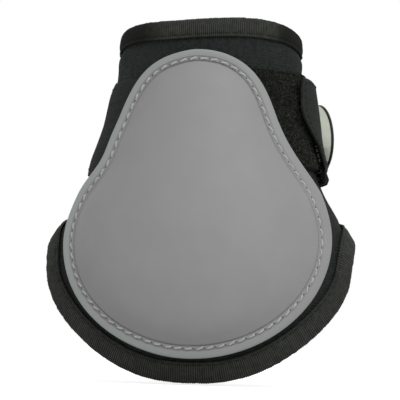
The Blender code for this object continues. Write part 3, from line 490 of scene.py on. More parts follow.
def tube_faces(stations, size):
    """Quads of a tube of rings, numbered ring by ring, and of its flat ends: each end quad joins two
    neighbours of the ring to the two across from them."""
    k = np.arange(size // 2 - 1)
    cap = np.stack([k, k + 1, size - 2 - k, size - 1 - k], axis=-1)
    return np.concatenate([grid_faces(stations, size, ring_along=True), cap[:, ::-1],
                           cap + (stations - 1) * size])


def binding(place_name, word, curve, inward, tape_leg, seed=1):
    """The tape's profile carried along an edge. Cords: the outside stands out by the root of the
    sine of the run, one hump for each cord, each a little higher or lower than the next. The
    furrows between cords are marked for painted shade, and along the rim the tape is painted
    darker at the sides: painted shade where the lamp's sheen on it falls off."""
    (angle, height, run), (profile, outside) = curve, tape_profile(tape_leg)
    ribs = run[STEPS_PER_RIB]
    count = int(round(run[-1] / ribs)) + 2
    chance = np.random.default_rng(seed).normal(0.0, RIB_VARIES, count)
    lumps = np.random.default_rng(seed + 7).normal(0.0, LUMP_HEIGHT, int(run[-1] / LUMP_PITCH) + 2)
    uneven = (np.interp(run / ribs, np.arange(count) + 0.5, chance)
              + np.interp(run, np.arange(len(lumps)) * LUMP_PITCH, lumps))
    hump = np.abs(np.sin(math.pi * run / ribs)) ** 0.6
    # Painted shade: the top tape is painted darker towards its sides, where the lamp's sheen on it falls
    # off.
    shade = PAINTED_SIDE_SHADE * np.where(angle < 0.0, smooth((-14.0 - angle) / 30.0),
                                  smooth((angle - 42.0) / 18.0))
    shade = shade * (1.0 - smooth((np.abs(angle) - 100.0) / 20.0)) * (height > 0.0)
    rings = np.empty((len(angle), len(profile), 3))
    # The furrow share is painted shade, in the furrows between cords and at the rim's sides.
    furrow = np.zeros(rings.shape[:2])
    for k, (distance, lift, out_across, out_up) in enumerate(profile):
        strength = 0.0 if k >= outside else 0.3 if k in (0, outside - 1) else 1.0
        grown = strength * (RIB_HEIGHT * (hump - 0.5) + uneven)
        at = moved_in(angle, height, distance + grown * out_across, inward)
        rings[:, k] = skin(*at, lift + grown * out_up)
        furrow[:, k] = np.maximum(strength * (1.0 - hump), shade)
    steps, size = rings.shape[:2]
    uv = np.stack(np.broadcast_arrays(run[:, None], np.linspace(0.0, 0.024, size)), axis=-1)
    piece = mesh_piece(f"{place_name}_binding_{word}_tape", rings, tube_faces(steps, size), uv,
                       groove=furrow)
    if place_name == "end":
        dress(piece, binding_cloth, "binding_tape", f"{word}_wing", f"end_binding_{word}")
    else:
        dress(piece, binding_cloth, "binding_tape", wing_bends[word], f"{place_name}_binding_front",
              f"{place_name}_binding_{word}")


edge_angle, edge_height = lower_edge()
end_foot = float(np.interp(WING_END_AT, edge_angle, edge_height))
rim_ends_at = WING_END_AT - math.degrees((END_TAPE_LEG + END_TAPE_CLEAR) / COLLAR_RADIUS)
kept = edge_angle < WING_END_AT - math.degrees((END_TAPE_LEG + END_TAPE_CLEAR) / BAND_RADIUS)
edge_angle, edge_height = edge_angle[kept], edge_height[kept]
for word, turned in SIDES:
    angle, height, run = even(edge_angle, edge_height, RIB_PITCH / STEPS_PER_RIB, STEPS_PER_RIB)
    binding("bottom", word, (turned * angle, height, run), turned, FOOT_TAPE_LEG, 1 + turned)
    rim = turned * np.linspace(0.0, rim_ends_at, EDGE_POINTS)
    rim = even(rim, top_edge(rim), TOP_RIB_PITCH / STEPS_PER_RIB, STEPS_PER_RIB)
    binding("top", word, rim, -turned, TOP_TAPE_LEG)
    height = np.linspace(end_foot, float(top_edge(turned * WING_END_AT)), EDGE_POINTS)
    end = even(np.full_like(height, turned * WING_END_AT), height, RIB_PITCH / STEPS_PER_RIB,
               STEPS_PER_RIB)
    binding("end", word, end, turned, END_TAPE_LEG)


# Stitches of the binding: black polyester thread, sewn through tape and foam along the groove near
# the tape's inner edge, so the same row of stitches shows on the outside and on the inside.
SEAM_FROM_TAPE_EDGE, SEAM_SUNK, END_SEAM_SHORT = 0.0014, 0.00042, 0.004
TAPE_THREAD, LOOP_THREAD = (0.0032, 0.0026, 0.00024), (0.0030, 0.0024, 0.00022)
PLACE_VARIES, THREAD_THINS = 0.12, 0.35


def tube_rows(name, centre, flat, upright, thick, sides, uv, start=0.0):
    """Many tubes, each along a row of centres: a side's point is the centre plus the thickness times
    (flat times the cosine plus upright times the sine) of its turn. The ends are closed flat."""
    count, stations = centre.shape[:2]
    turn = (np.linspace(0.0, 2 * math.pi, sides, endpoint=False) + start)[:, None]
    ring = flat[:, :, None] * np.cos(turn) + upright[:, :, None] * np.sin(turn)
    tubes = centre[:, :, None] + ring * np.broadcast_to(thick, stations)[:, None, None]
    last = (stations - 1) * sides
    ends = [[2, 1, 0], [last, last + 1, last + 2]] if sides == 3 else []
    first = (np.arange(count) * stations * sides)[:, None, None]
    return mesh_piece(name, tubes, (tube_faces(stations, sides) + first).reshape(-1, 4), uv, 60.0,
                      (np.array(ends, int).reshape(-1, 3) + first).reshape(-1, 3))


def thread_row(name, line, normal, thread, proud, dive, slant=0.0, stations=7, sides=6, vary=0.0):
    """Stitches along a line. A thread is given by the pitch of its stitches, their length and its
    radius. Each is a tube on an arc, whose height is its proud middle less a fourth power of
    the way to its ends, turned a little out of the line. They may vary in place and slant."""
    pitch, dash, radius = thread
    run = run_along(line)
    count = max(1, round(run[-1] / pitch))
    chance = np.random.default_rng(5).normal(0.0, vary, (2, count, 1))
    middle = (np.arange(count) + 0.5 + PLACE_VARIES * chance[0, :, 0]) * run[-1] / count
    t = np.linspace(-1.0, 1.0, stations)
    here = middle[:, None] + t[None, :] * dash / 2
    centre = np.stack([np.interp(here, run, line[:, i]) for i in range(3)], axis=-1)
    out = unit(np.stack([np.interp(middle, run, normal[:, i]) for i in range(3)], axis=-1))
    beside = np.cross(out, unit(centre[:, -1] - centre[:, 0]))[:, None]
    out = out[:, None]
    rise = proud - (proud + dive) * np.abs(t) ** 4
    centre = centre + out * rise[:, None] + beside * (slant * (1.0 + chance[1]) * t)[:, :, None]
    around = np.linspace(0.0, 2 * math.pi, sides, endpoint=False) * radius
    uv = np.stack(np.broadcast_arrays(here[:, :, None], around), axis=-1)
    thick = radius * (1.0 - THREAD_THINS * np.abs(t) ** 6)
    return tube_rows(name, centre, beside, out, thick, sides, uv)


def skin_line(angle, height, lift):
    """Points of a line on the skin, and the skin's normals there."""
    low, high = skin(angle, height, lift), skin(angle, height, lift + 0.001)
    return low, unit(high - low)


black_thread = finish_material("black_polyester_thread", (27, 28, 27), (40, 41, 40), 900.0, 0.7,
                               (2400.0, 900.0, 0.00006), (3000.0, 0.04), 0.6)


def black_seam(name, angle, height, lift, moves, proud, dive, thread=TAPE_THREAD, facing=1.0):
    """A row of black stitches along a line on the skin, facing out from the leg, or in if -1."""
    line, normal = skin_line(angle, height, lift)
    row = thread_row(f"{name}_stitches", line, facing * normal, thread, proud, dive)
    dress(row, black_thread, "thread", moves)


for word, turned in SIDES:
    foot = even(turned * edge_angle, edge_height, 0.0008)[:2]
    rim = np.linspace(0.0, rim_ends_at, 300) * turned
    end = np.linspace(end_foot + END_SEAM_SHORT,
                      float(top_edge(turned * WING_END_AT)) - END_SEAM_SHORT, 120)
    for place_name, tape_leg, inward, curve in (
            ("bottom", FOOT_TAPE_LEG, turned, foot), ("top", TOP_TAPE_LEG, -turned, (rim, top_edge(rim))),
            ("end", END_TAPE_LEG, turned, (np.full_like(end, turned * WING_END_AT), end))):
        line = moved_in(*curve, tape_leg - SEAM_FROM_TAPE_EDGE, inward)
        moves = f"{word}_wing" if place_name == "end" else wing_bends[word]
        for face_name, lift, facing in (
                ("outer", GAP + TAPE_THICK - SEAM_SUNK, 1.0),
                ("inner", -NEOPRENE_THICK - GAP - TAPE_THICK + SEAM_SUNK, -1.0)):
            black_seam(f"{place_name}_binding_{word}_{face_name}", *line, lift, moves, 0.0001, 0.0003,
                       TAPE_THREAD, facing)


# Loop tape: brushed loop tape sewn to the right of the wrap, its near end tucked under the shell.
# A woven ground carries a dense pile of small nylon loops, with a smooth selvage on its upper side.
SHELL_TOP, SHELL_FOOT, SHELL_WIDEST, SHELL_HALF_WIDTH = 0.0331, -0.0980, -0.0492, 0.0588
SHOULDER, HIP, WAIST_PULL = (0.0351, 0.0036), (0.0517, -0.0255), 0.0140
SHELL_LIFT, SHELL_THICK, LAYER_LIFT, TUCK = 0.0024, 0.0018, 0.0004, 0.0055
PATCH_HALF, PATCH_MIDDLE, PATCH_THICK, PATCH_ENDS_AT, SELVAGE = 0.0221, 0.0057, 0.0016, 118.0, 0.0013
PILE_DEPTH, PATCH_SEAM_INSET, PATCH_SEAM_TURN = 0.0005, 0.0007, 2.5
LOOPS_ROUND, LOOPS_UP, LOOP_TALL, LOOP_WIDE, YARN_RADIUS = 88, 74, 0.00062, 0.00034, 0.000085


def bezier(a, b, c, d, points=400):
    """Cubic curve from a to d with handles b and c, without its last point."""
    t = np.linspace(0.0, 1.0, points, endpoint=False)[:, None]
    a, b, c, d = (np.array(p, float) for p in (a, b, c, d))
    return a * (1 - t) ** 3 + 3 * b * t * (1 - t) ** 2 + 3 * c * t**2 * (1 - t) + d * t**3


def shell_side():
    """The shell's right side seen from the front, x and height: three curves down from the top's
    middle and a quarter oval to the foot's."""
    shoulder_lean, hip_lean = np.array([0.36, -1.0]) * WAIST_PULL, np.array([0.71, -1.0]) * WAIST_PULL
    shoulder, hip, widest = (np.array(at) for at in (SHOULDER, HIP, (SHELL_HALF_WIDTH, SHELL_WIDEST)))
    turn = np.linspace(0.0, math.pi / 2, 401)[:, None]
    swing = np.hstack([1.0 - np.cos(turn), np.sin(turn)])
    oval = widest + (np.array([0.0, SHELL_FOOT]) - widest) * swing
    return np.vstack([
        bezier((0.0, SHELL_TOP), (SHOULDER[0] * 0.62, SHELL_TOP), shoulder - shoulder_lean, shoulder),
        bezier(shoulder, shoulder + shoulder_lean, hip - hip_lean * 0.7, hip),
        bezier(hip, hip + hip_lean * 0.5, widest + (0.0, WAIST_PULL * 0.6), widest), oval])


def angle_at(x, height, lift):
    """The angle at which a lifted skin point has this x, found by halving."""
    x = np.asarray(x, float)
    low, high = np.zeros_like(x), np.full_like(x, 90.0)
    for _ in range(28):
        middle = (low + high) / 2
        short = skin(middle, height, lift)[..., 0] < np.abs(x)
        low, high = np.where(short, middle, low), np.where(short, high, middle)
    return np.sign(x) * (low + high) / 2


def shell_edge_angle(height, inset=0.0):
    """The angle of the shell's right edge at these heights, moved in by the inset."""
    side_run = shell_side()[::-1]
    return angle_at(np.interp(height, side_run[:, 1], side_run[:, 0]) - inset, height, SHELL_LIFT)


def rim_fall(level, half, rounding, depth):
    """How far a band's outside falls towards its rims: the depth times a parabola of the way out."""
    return depth * (1.0 - np.clip((half - np.abs(level)) / rounding, 0.0, 1.0)) ** 2


def strip(name, start, end, half, lift, thick, columns, rows, relief, middle, step=1, rounding=0.0015,
          fall=0.35, thinned=0.0):
    """A band round the leg, from a start angle to an end one, each a number or a function of the
    height, its middle line at a height that changes evenly from the first to the second. Its
    outside has a relief, which gives a rise and a groove share for each run and height in
    metres, and its rims fall off by a parabola. Over the last 4 mm its underside may rise by a
    parabola. Its inside is a coarser grid."""
    level = np.linspace(-half, half, rows)
    first, last = (np.broadcast_to(edge(level + at) if callable(edge) else edge, rows)
                   for edge, at in zip((start, end), middle))
    share = np.linspace(0.0, 1.0, columns)[:, None]
    angle = first[None, :] + (last - first)[None, :] * share
    level = np.broadcast_to(level[None, :], angle.shape)
    height = level + middle[0] + (middle[1] - middle[0]) * smooth(share)
    under = lift(angle) if callable(lift) else np.full(angle.shape, lift)
    run = np.radians(angle) * (COLLAR_RADIUS + 0.004)
    rise, groove = relief(run, level)
    rise = rise * np.clip((half - np.abs(level)) / 0.0015, 0.0, 1.0)
    top = under + thick - rim_fall(level, half, rounding, thick * fall) + rise
    left = np.clip(np.abs(run - run[-1]) / 0.004, 0.0, 1.0)
    under = under + thinned * (1.0 - left) ** 2
    outer, inner = skin(angle, height, top), skin(angle, height, under)[::step, ::step]
    return layer_piece(name, outer, inner, np.stack([run, level], axis=-1), step, groove)


def matted(run, level):
    """The ground under the loops: a lumpy mat, from three sine waves that cross at odd angles,
    under a smooth upper selvage. Its groove share paints the ground dark under the loops: painted
    shade of the pile."""
    lump = (np.sin(run * 2900.0 + level * 800.0) + np.sin(level * 3300.0 - run * 700.0)
            + np.sin((run + level) * 1900.0))
    field = smooth((PATCH_HALF - SELVAGE - level) / 0.0004)
    return 0.00007 * lump * field, (0.85 + lump / 20.0) * field


patch = strip("loop_tape", lambda height: shell_edge_angle(height, TUCK), PATCH_ENDS_AT, PATCH_HALF,
              LAYER_LIFT, PATCH_THICK - PILE_DEPTH, 161, 161, matted, (PATCH_MIDDLE, PATCH_MIDDLE), 4)
# Painted shade: the ground under the loops takes the dark tone (21, 22, 20).
loop_ground = finish_material("loop_tape_ground", (42, 47, 44), (52, 58, 54), 420.0, 0.9,
                              (1400.0, 1400.0, 0.00010), (2600.0, 0.08), 0.6, 0.05, 0.5, (21, 22, 20))
dress(patch, loop_ground, "loop_pile", wing_bends["right"], "loop_patch")


def standing(angle, height, lift):
    """Feet on the skin, the way up from each, and two level ways at right angles."""
    foot, up_way = skin_line(angle, height, lift)
    along = unit(np.cross(up_way, [0.0, 0.0, 1.0]))
    return foot, up_way, along, np.cross(up_way, along)


def pile(name, angle, height, lift, rng, stations=5, sides=3):
    """Loops of fine yarn, one at each place: a half ring, taller than wide, turned and leant at
    random, as a tube of a few faces. Two crossed sine waves make them taller and shorter in clumps."""
    count = len(angle)
    clump = np.sin(angle * 2.9 + height * 2600.0) * np.sin(height * 3900.0 - angle * 1.7)
    foot, up_way, along, beside = standing(angle, height, lift)
    twist = rng.uniform(0.0, math.pi, count)
    face = along * np.cos(twist)[:, None] + beside * np.sin(twist)[:, None]
    lean = along * rng.normal(0, 1, (count, 1)) + beside * rng.normal(0, 1, (count, 1))
    lean = unit(up_way + 0.45 * lean)
    size = rng.uniform(0.75, 1.25, count) * (1.0 + 0.50 * clump)
    cos, sin = (wave(np.linspace(0.0, math.pi, stations))[:, None] for wave in (np.cos, np.sin))
    centre = (foot[:, None] + face[:, None] * (LOOP_WIDE * size)[:, None, None] * cos
              + lean[:, None] * (LOOP_TALL * size)[:, None, None] * sin)
    out = face[:, None] * cos + lean[:, None] * sin
    uv = np.broadcast_to(np.stack([twist, size], axis=-1)[:, None, None], (count, stations, sides, 2))
    return tube_rows(name, centre, out, np.cross(face, lean)[:, None], YARN_RADIUS, sides, uv * 0.01)


rng = np.random.default_rng(11)
share, level = np.meshgrid((np.arange(LOOPS_ROUND) + 0.5) / LOOPS_ROUND,
                           (np.arange(LOOPS_UP) + 0.5) / LOOPS_UP - 0.5)
share = share.ravel() + rng.normal(0.0, 0.35, share.size) / LOOPS_ROUND
level = (level.ravel() + rng.normal(0.0, 0.35, level.size) / LOOPS_UP) * 2 * (PATCH_HALF - SELVAGE)
level = PATCH_MIDDLE + np.clip(level, SELVAGE - PATCH_HALF, PATCH_HALF - SELVAGE)
near = shell_edge_angle(level, 0.0010)
loops = pile("loop_pile", near + (PATCH_ENDS_AT - 1.2 - near) * np.clip(share, 0.0, 1.0), level,
             LAYER_LIFT + PATCH_THICK - 0.0006, rng)
loop_yarn = finish_material("loop_yarn", (20, 21, 19), (80, 82, 75), 640.0, 0.7, None,
                            (2600.0, 0.03), 0.3, 0.1)
dress(loops, loop_yarn, "loop_pile", wing_bends["right"])
low, high = (PATCH_MIDDLE - PATCH_HALF + PATCH_SEAM_INSET, PATCH_MIDDLE + PATCH_HALF - PATCH_SEAM_INSET)
seam_ends_at = PATCH_ENDS_AT - PATCH_SEAM_TURN
patch_rows = [("end", np.full(120, seam_ends_at), np.linspace(low, high, 120))]
for seam_name, level in (("lower", low), ("upper", high)):
    near = float(shell_edge_angle(np.array([level]), -0.0010)[0])
    around = near + (seam_ends_at - near) * np.linspace(0.0, 1.0, 160)
    patch_rows.insert(0, (seam_name, around, np.full(160, level)))
for seam_name, angle, height in patch_rows:
    black_seam(f"loop_tape_{seam_name}", angle, height, LAYER_LIFT + PATCH_THICK - 0.0003,
               wing_bends["right"], 0.0002, 0.0005, LOOP_THREAD)


# Strap: ribbed nylon webbing 42 mm wide. Its near end is tucked under the shell's left edge, it is
# sewn along the left wing, and from the wing's end it is free to close round the front of the leg.
STRAP_HALF, STRAP_MIDDLE, TAB_MIDDLE, STRAP_THICK = 0.0210, 0.0006, 0.0036, 0.0016
STRAP_HINGE_AT, TAB_HINGE_AT = 172.0, 138.0
STRAP_OVER_TAPE, TAB_LIFT, TAB_THICK = 0.0014, 0.0038, 0.0022
WEB_PITCH, BEAD_PITCH, WEB_HEIGHT, WEB_SUNK = 0.0010, 0.00125, 0.00030, 0.75
SEWN_ROUNDING, SEWN_FALL, STRAP_SEAM_INSET, BOX_FROM, BOX_TO = 0.0090, 0.78, 0.0026, -146.0, -169.5


def strap_lift(angle):
    """Underside off the skin: on the wrap, over the end tape, then rising to pass over the patch."""
    turned = np.where(angle < 0.0, angle + 360.0, angle)
    climb = smooth((360.0 - turned - rim_ends_at + 6.0) / 6.0)
    off_tape = smooth((STRAP_HINGE_AT - turned) / (STRAP_HINGE_AT - TAB_HINGE_AT))
    return (LAYER_LIFT + (STRAP_OVER_TAPE - LAYER_LIFT) * climb
            + (TAB_LIFT - STRAP_OVER_TAPE) * off_tape)


def webbing(run, level):
    """Relief of the webbing: cords along its length, each a row of beads set off from the next. The
    groove share it gives marks painted shade where the weave is sunk.
    """
    cord = np.abs(np.cos(math.pi * level / WEB_PITCH)) ** 0.6
    shift = math.pi * np.round(level / WEB_PITCH)
    bead = 0.70 + 0.30 * np.cos(2 * math.pi * run / BEAD_PITCH + shift)
    weave = cord * bead
    return WEB_HEIGHT * (weave - 0.7), np.clip(WEB_SUNK - weave, 0.0, WEB_SUNK) / WEB_SUNK


# Painted shade: the webbing's sunk weave is painted 70 % darker, on the strap and on the tab.
web_finish = finish_material("black_webbing", (38, 41, 39), (51, 54, 51), 420.0, 0.8, None,
                             (3400.0, 0.06), 0.5, 0.12, 0.7)
sewn = strip("sewn_strap", lambda height: -shell_edge_angle(height, TUCK), -STRAP_HINGE_AT, STRAP_HALF,
             strap_lift, STRAP_THICK, 273, 201, webbing, (STRAP_MIDDLE, STRAP_MIDDLE), 4,
             SEWN_ROUNDING, SEWN_FALL)
dress(sewn, web_finish, "webbing", wing_bends["left"], "strap_anchor", "strap_sewn")
free = strip("free_strap", 360.0 - STRAP_HINGE_AT, TAB_HINGE_AT, STRAP_HALF, strap_lift, STRAP_THICK,
             145, 201, webbing, (STRAP_MIDDLE, TAB_MIDDLE), 4)
dress(free, web_finish, "webbing", bend("left_wing", "strap", (188.0, 180.0), -0.002, 0.003),
      "strap_band")

low, high = STRAP_MIDDLE - STRAP_HALF + STRAP_SEAM_INSET, STRAP_MIDDLE + STRAP_HALF - STRAP_SEAM_INSET
across, box = np.linspace(low, high, 120), np.linspace(BOX_FROM, BOX_TO, 120)
for seam_name, angle, height in (
        ("upper", np.linspace(-62.0, BOX_TO, 240), np.full(240, high)),
        ("lower", np.linspace(-66.0, BOX_TO, 240), np.full(240, low)),
        ("end", np.full(120, BOX_TO), across), ("box", np.full(120, BOX_FROM), across),
        ("rising", box, across), ("falling", box, np.linspace(high, low, 120))):
    sunk = rim_fall(height - STRAP_MIDDLE, STRAP_HALF, SEWN_ROUNDING, STRAP_THICK * SEWN_FALL)
    black_seam(f"strap_{seam_name}", angle, height, strap_lift(angle) + STRAP_THICK - sunk - 0.0001,
               wing_bends["left"], 0.00012, 0.0005)


# Impact pad: closed-cell foam, cut a little smaller than the shell and nipped in at the sides where
# the ends of the strap and the loop tape are tucked. It lies between wrap and shell.
SHELL_DOME, DOME_STARTS, DOME_WIDE, DOME_SHARE = 0.0030, 0.0054, 0.0056, 1.35
NIP_HALF, NIP_INSET, PAD_INSET, NIP_CLEAR, NIP_EASED_OVER = 0.0275, 0.0088, 0.0022, 0.0045, 0.008
MARKED_STATIONS = 9


def shell_outline(count):
    """The shell's whole outline, clockwise from the top, at even steps: the side and its mirror."""
    right_side = shell_side()
    loop = np.vstack([right_side, right_side[-2:0:-1] * (-1.0, 1.0), right_side[:1]])
    run = run_along(loop)
    wanted = np.linspace(0.0, run[-1], count, endpoint=False)
    return np.stack([np.interp(wanted, run, loop[:, i]) for i in (0, 1)], axis=1)


def settled(loop):
    """The outline as this shell lies: its left waist nearer the middle than its right one, by bell
    curves of the height."""
    x, height = loop[:, 0], loop[:, 1]
    left = np.clip(-x / 0.02, 0.0, 1.0) * (
        0.0020 * bell(height, -0.0185, 0.0105) + 0.0012 * smooth((-0.004 - height) / 0.016)
        - 0.0004 * bell(height, -0.0750, 0.0150))
    right = -np.clip(x / 0.02, 0.0, 1.0) * (
        0.00122 * bell(height, 0.0060, 0.0175) + 0.0006 * bell(height, -0.0330, 0.0110))
    top = -(0.0003 + 0.0006 * smooth(-x / 0.012)) * bell(height, SHELL_TOP, 0.0080)
    return np.stack([x + left + right, height + top], axis=1)


def pulled_in(loop, distance):
    """A closed loop with each point moved by the distance along its inward normal."""
    run = unit(np.roll(loop, -1, axis=0) - np.roll(loop, 1, axis=0))
    inward = np.stack([run[:, 1], -run[:, 0]], axis=1)
    return loop + inward * np.broadcast_to(distance, len(loop))[:, None]


def dome(inset):
    """Rise of the padded dome over the lip: its height times 1 less a bell of the inset."""
    way = np.clip(inset - DOME_STARTS, 0.0, None) / DOME_WIDE
    return SHELL_DOME * (1.0 - np.exp(-way**DOME_SHARE))


def square_fill(ring):
    """A square of points inside a ring of 4n: opposite sides joined by straight lines both ways,
    less the plane of the corners."""
    n = len(ring) // 4
    loop = np.roll(ring, n // 2, axis=0)
    loop = np.vstack([loop, loop[:1]])
    head, right_side = loop[:n + 1], loop[n:2 * n + 1]
    foot, left_side = loop[3 * n:2 * n - 1:-1], loop[:3 * n - 1:-1]
    u, v = np.linspace(0, 1, n + 1)[:, None, None], np.linspace(0, 1, n + 1)[None, :, None]
    grid = ((1 - v) * head[:, None] + v * foot[:, None] + (1 - u) * left_side[None]
            + u * right_side[None])
    grid = (grid - (1 - u) * (1 - v) * head[0] - u * (1 - v) * head[-1] - (1 - u) * v * foot[0]
            - u * v * foot[-1])
    return grid[1:-1, 1:-1].reshape(-1, 2)


def square_numbers(n, ring_first, fill_first):
    """The number of every point of that square, its border taken from the ring."""
    numbers = np.zeros((n + 1, n + 1), int)
    numbers[1:-1, 1:-1] = fill_first + np.arange((n - 1) ** 2).reshape(n - 1, n - 1)
    k = np.arange(n + 1)
    for i, j, turned in ((k, 0, k), (n, k, n + k), (k, n, 3 * n - k), (0, k, 4 * n - k)):
        numbers[i, j] = ring_first + (turned - n // 2) % (4 * n)
    return numbers


def domed_piece(name, outline, front, back, marked=None):
    """A closed piece inside an outline. Front and back are (inset, lift) stations from the edge
    inwards; inside the last one a square of points follows the dome over the distance in. The
    first nine front stations may be marked in the groove attribute for a painted tone of their
    own; on the shell that is painted light on the lip."""
    points, faces, first, count = [], [], 0, len(outline)
    top_lift = SHELL_LIFT + SHELL_THICK
    for stations in (front, back):
        insets = [np.broadcast_to(inset, count) for inset, _ in stations]
        loops = np.stack([pulled_in(outline, inset) for inset in insets])
        lifts = np.stack([np.broadcast_to(lift, count) for _, lift in stations])
        turn = angle_at(loops[..., 0], loops[..., 1], top_lift)
        fill = square_fill(np.stack([turn[-1], loops[-1, :, 1]], axis=1))
        x = skin(fill[:, 0], fill[:, 1], top_lift)[:, 0]
        inset = np.full(len(fill), 1.0)
        for start in range(0, count, 40):
            part = outline[start:start + 40]
            away = np.hypot(x[:, None] - part[:, 0], fill[:, 1:2] - part[:, 1])
            inset = np.minimum(inset, away.min(axis=1))
        fill_lift = float(np.mean(lifts[-1] - dome(insets[-1]))) + dome(inset)
        points += [skin(turn, loops[..., 1], lifts).reshape(-1, 3),
                   skin(fill[:, 0], fill[:, 1], fill_lift)]
        numbers = square_numbers(count // 4, first + (len(stations) - 1) * count,
                                 first + len(stations) * count)
        quads = np.stack([numbers[:-1, :-1], numbers[:-1, 1:], numbers[1:, 1:], numbers[1:, :-1]],
                         axis=-1)
        made = np.concatenate([grid_faces(len(stations), count, ring_along=True, first=first),
                               quads.reshape(-1, 4)])
        faces.append(made if stations is front else made[:, ::-1])
        half, first = first, first + len(stations) * count + len(fill)
    k = np.arange(count)
    faces.append(np.stack([k, (k + 1) % count, half + (k + 1) % count, half + k], axis=-1))
    points = np.vstack(points)
    if marked is not None:
        marked = np.append(np.tile(marked, MARKED_STATIONS),
                           np.zeros(len(points) - MARKED_STATIONS * count))
    return mesh_piece(name, points, np.concatenate(faces), points[:, [0, 2]], 50.0, groove=marked)


pad_outline = shell_outline(160)
side_run = shell_side()
patch_corner = np.interp(NIP_HALF, side_run[::-1, 1], side_run[::-1, 0]) - TUCK
clear = np.maximum(np.abs(pad_outline[:, 1]) - NIP_HALF,
                   patch_corner - np.abs(pad_outline[:, 0])) - NIP_CLEAR
pad_edge = NIP_INSET + (PAD_INSET - NIP_INSET) * smooth(clear / NIP_EASED_OVER)
pad_top = SHELL_LIFT - 0.0005
pad_front = [(pad_edge + inset, lift) for inset, lift in (
    (0.0002, LAYER_LIFT + 0.0005), (0.0, LAYER_LIFT + 0.0009), (0.0001, pad_top - 0.0004),
    (0.0005, pad_top - 0.0001), (0.0012, pad_top))]
pad_front += [(np.maximum(0.0075, pad_edge + 0.0014), pad_top + dome(0.0065)),
              (np.maximum(0.0100, pad_edge + 0.0022), pad_top + dome(0.0092)),
              (0.0125, pad_top + dome(0.0118))]
pad_back = [(pad_edge + 0.0005, LAYER_LIFT + 0.0001), (pad_edge + 0.0016, LAYER_LIFT),
            (0.0125, LAYER_LIFT)]
pad = domed_piece("foam_pad", pad_outline, pad_front, pad_back)
foam = finish_material("closed_cell_foam", (38, 40, 39), (50, 52, 51), 400.0, 0.9, None,
                       (1800.0, 0.15), 0.6, 0.1)
dress(pad, foam, "foam", "root", "impact_pad")


# Moulded shell: grey polyurethane about 1.8 mm thick, pressed over the pad into a low dome. Its lip
# turns up a little and is sewn through a moulded channel that has a fine line on each side.
LIP = SHELL_LIFT + SHELL_THICK
CHANNEL = ((0.0, -0.0002), (0.00010, 0.00020), (0.00035, 0.00045), (0.0007, 0.00055), (0.0013, 0.00048),
           (0.0020, 0.00032), (0.0027, 0.00015), (0.0030, 0.00002), (0.0032, -0.00038),
           (0.00335, -0.00042), (0.0036, -0.00010), (0.0041, -0.00005), (0.0046, -0.00010),
           (0.0049, -0.00055), (0.0051, -0.00080), (0.00535, -0.00028), (0.0057, 0.00005), (0.0062, 0.0),
           (0.0068, 0.0), (0.0076, 0.0), (0.0088, 0.0))
UNDERSIDE = ((0.0009, 0.00012), (0.0030, 0.0), (0.0054, 0.0), (0.0068, 0.0), (0.0088, 0.0))
outside = [(0.0004, SHELL_LIFT + 0.0003), (0.0, SHELL_LIFT + 0.0006)]
outside += [(inset, LIP + rise + dome(inset)) for inset, rise in CHANNEL]
under = [(inset, SHELL_LIFT + rise + dome(inset)) for inset, rise in UNDERSIDE]
lip_outline = settled(shell_outline(480))
# Painted light: the lip is painted paler and faintly blue-green towards the left, evening out the lamp's
# shade on that side.
painted_light_to_the_left = np.clip(0.5 - lip_outline[:, 0] / 0.118, 0.0, 1.0)
shell = domed_piece("moulded_shell", lip_outline, outside, under, painted_light_to_the_left)
shell_finish = finish_material("grey_polyurethane", (143, 143, 143), (147, 147, 147), 90.0, 0.5,
                               None, (1500.0, 0.03), 0.5, 0.3, 0.0, (156, 162, 160))
dress(shell, shell_finish, "shell_pu", "root", "shell")


# Shell seam: one row of thick grey polyester thread in the channel. Each stitch stands a little
# proud in its middle and dives into a needle hole at both ends.
SHELL_SEAM_PITCH, SHELL_SEAM_INSET = 0.00455, 0.0041
GREY_THREAD, NEEDLE_HOLE = (SHELL_SEAM_PITCH, 0.0034, 0.00046), (SHELL_SEAM_PITCH, 0.0011, 0.00036)
seam = pulled_in(settled(shell_outline(2400)), SHELL_SEAM_INSET)
seam = np.vstack([seam, seam[:1]])
line, normal = skin_line(angle_at(seam[:, 0], seam[:, 1], LIP), seam[:, 1], LIP - 0.00005)
seam_piece = thread_row("shell_stitches", line, normal, GREY_THREAD, 0.00016, 0.0009, 0.00046, 9, 8,
                        0.35)
grey_thread = finish_material("grey_polyester_thread", (172, 171, 172), (206, 205, 205), 900.0, 0.6,
                              (1700.0, 500.0, 0.00010), (3000.0, 0.05), 0.6, 0.2)
dress(seam_piece, grey_thread, "thread", "root")
stitches = round(np.sum(np.linalg.norm(np.diff(line, axis=0), axis=1)) / SHELL_SEAM_PITCH)
half_a_stitch = round(len(line) / stitches / 2)
line, normal = (np.roll(each[:-1], half_a_stitch, axis=0) for each in (line, normal))
hole_row = thread_row("needle_holes", np.vstack([line, line[:1]]), np.vstack([normal, normal[:1]]),
                      NEEDLE_HOLE, -0.00022, 0.0004, 0.0, 7, 8)
hole_shade = finish_material("needle_hole_shade", (92, 87, 88), (102, 97, 98), 500.0, 0.9)
dress(hole_row, hole_shade, "shell_pu", "root")


# Tab: the strap's closing end, a double layer of the webbing with rounded corners, sewn all round.
# Its tip is nearly straight, with a round corner above and a step back below.
TAB_TIP = [(-0.0190, 72.6), (-0.0178, 73.2), (-0.0150, 74.6), (-0.0125, 76.0), (-0.0095, 75.5),
           (-0.0065, 73.0), (-0.0038, 69.8), (-0.0010, 66.6), (0.0043, 62.5), (0.0078, 61.0),
           (0.0109, 61.0), (0.0205, 64.3), (0.0236, 67.2), (0.0247, 70.0)]
TAB_SEAM_INSET, TAB_SEAM_TURN, TAB_SEAM_ENDS_AT, TIP_EASED_OVER = 0.0024, 3.4, 129.0, 0.0015


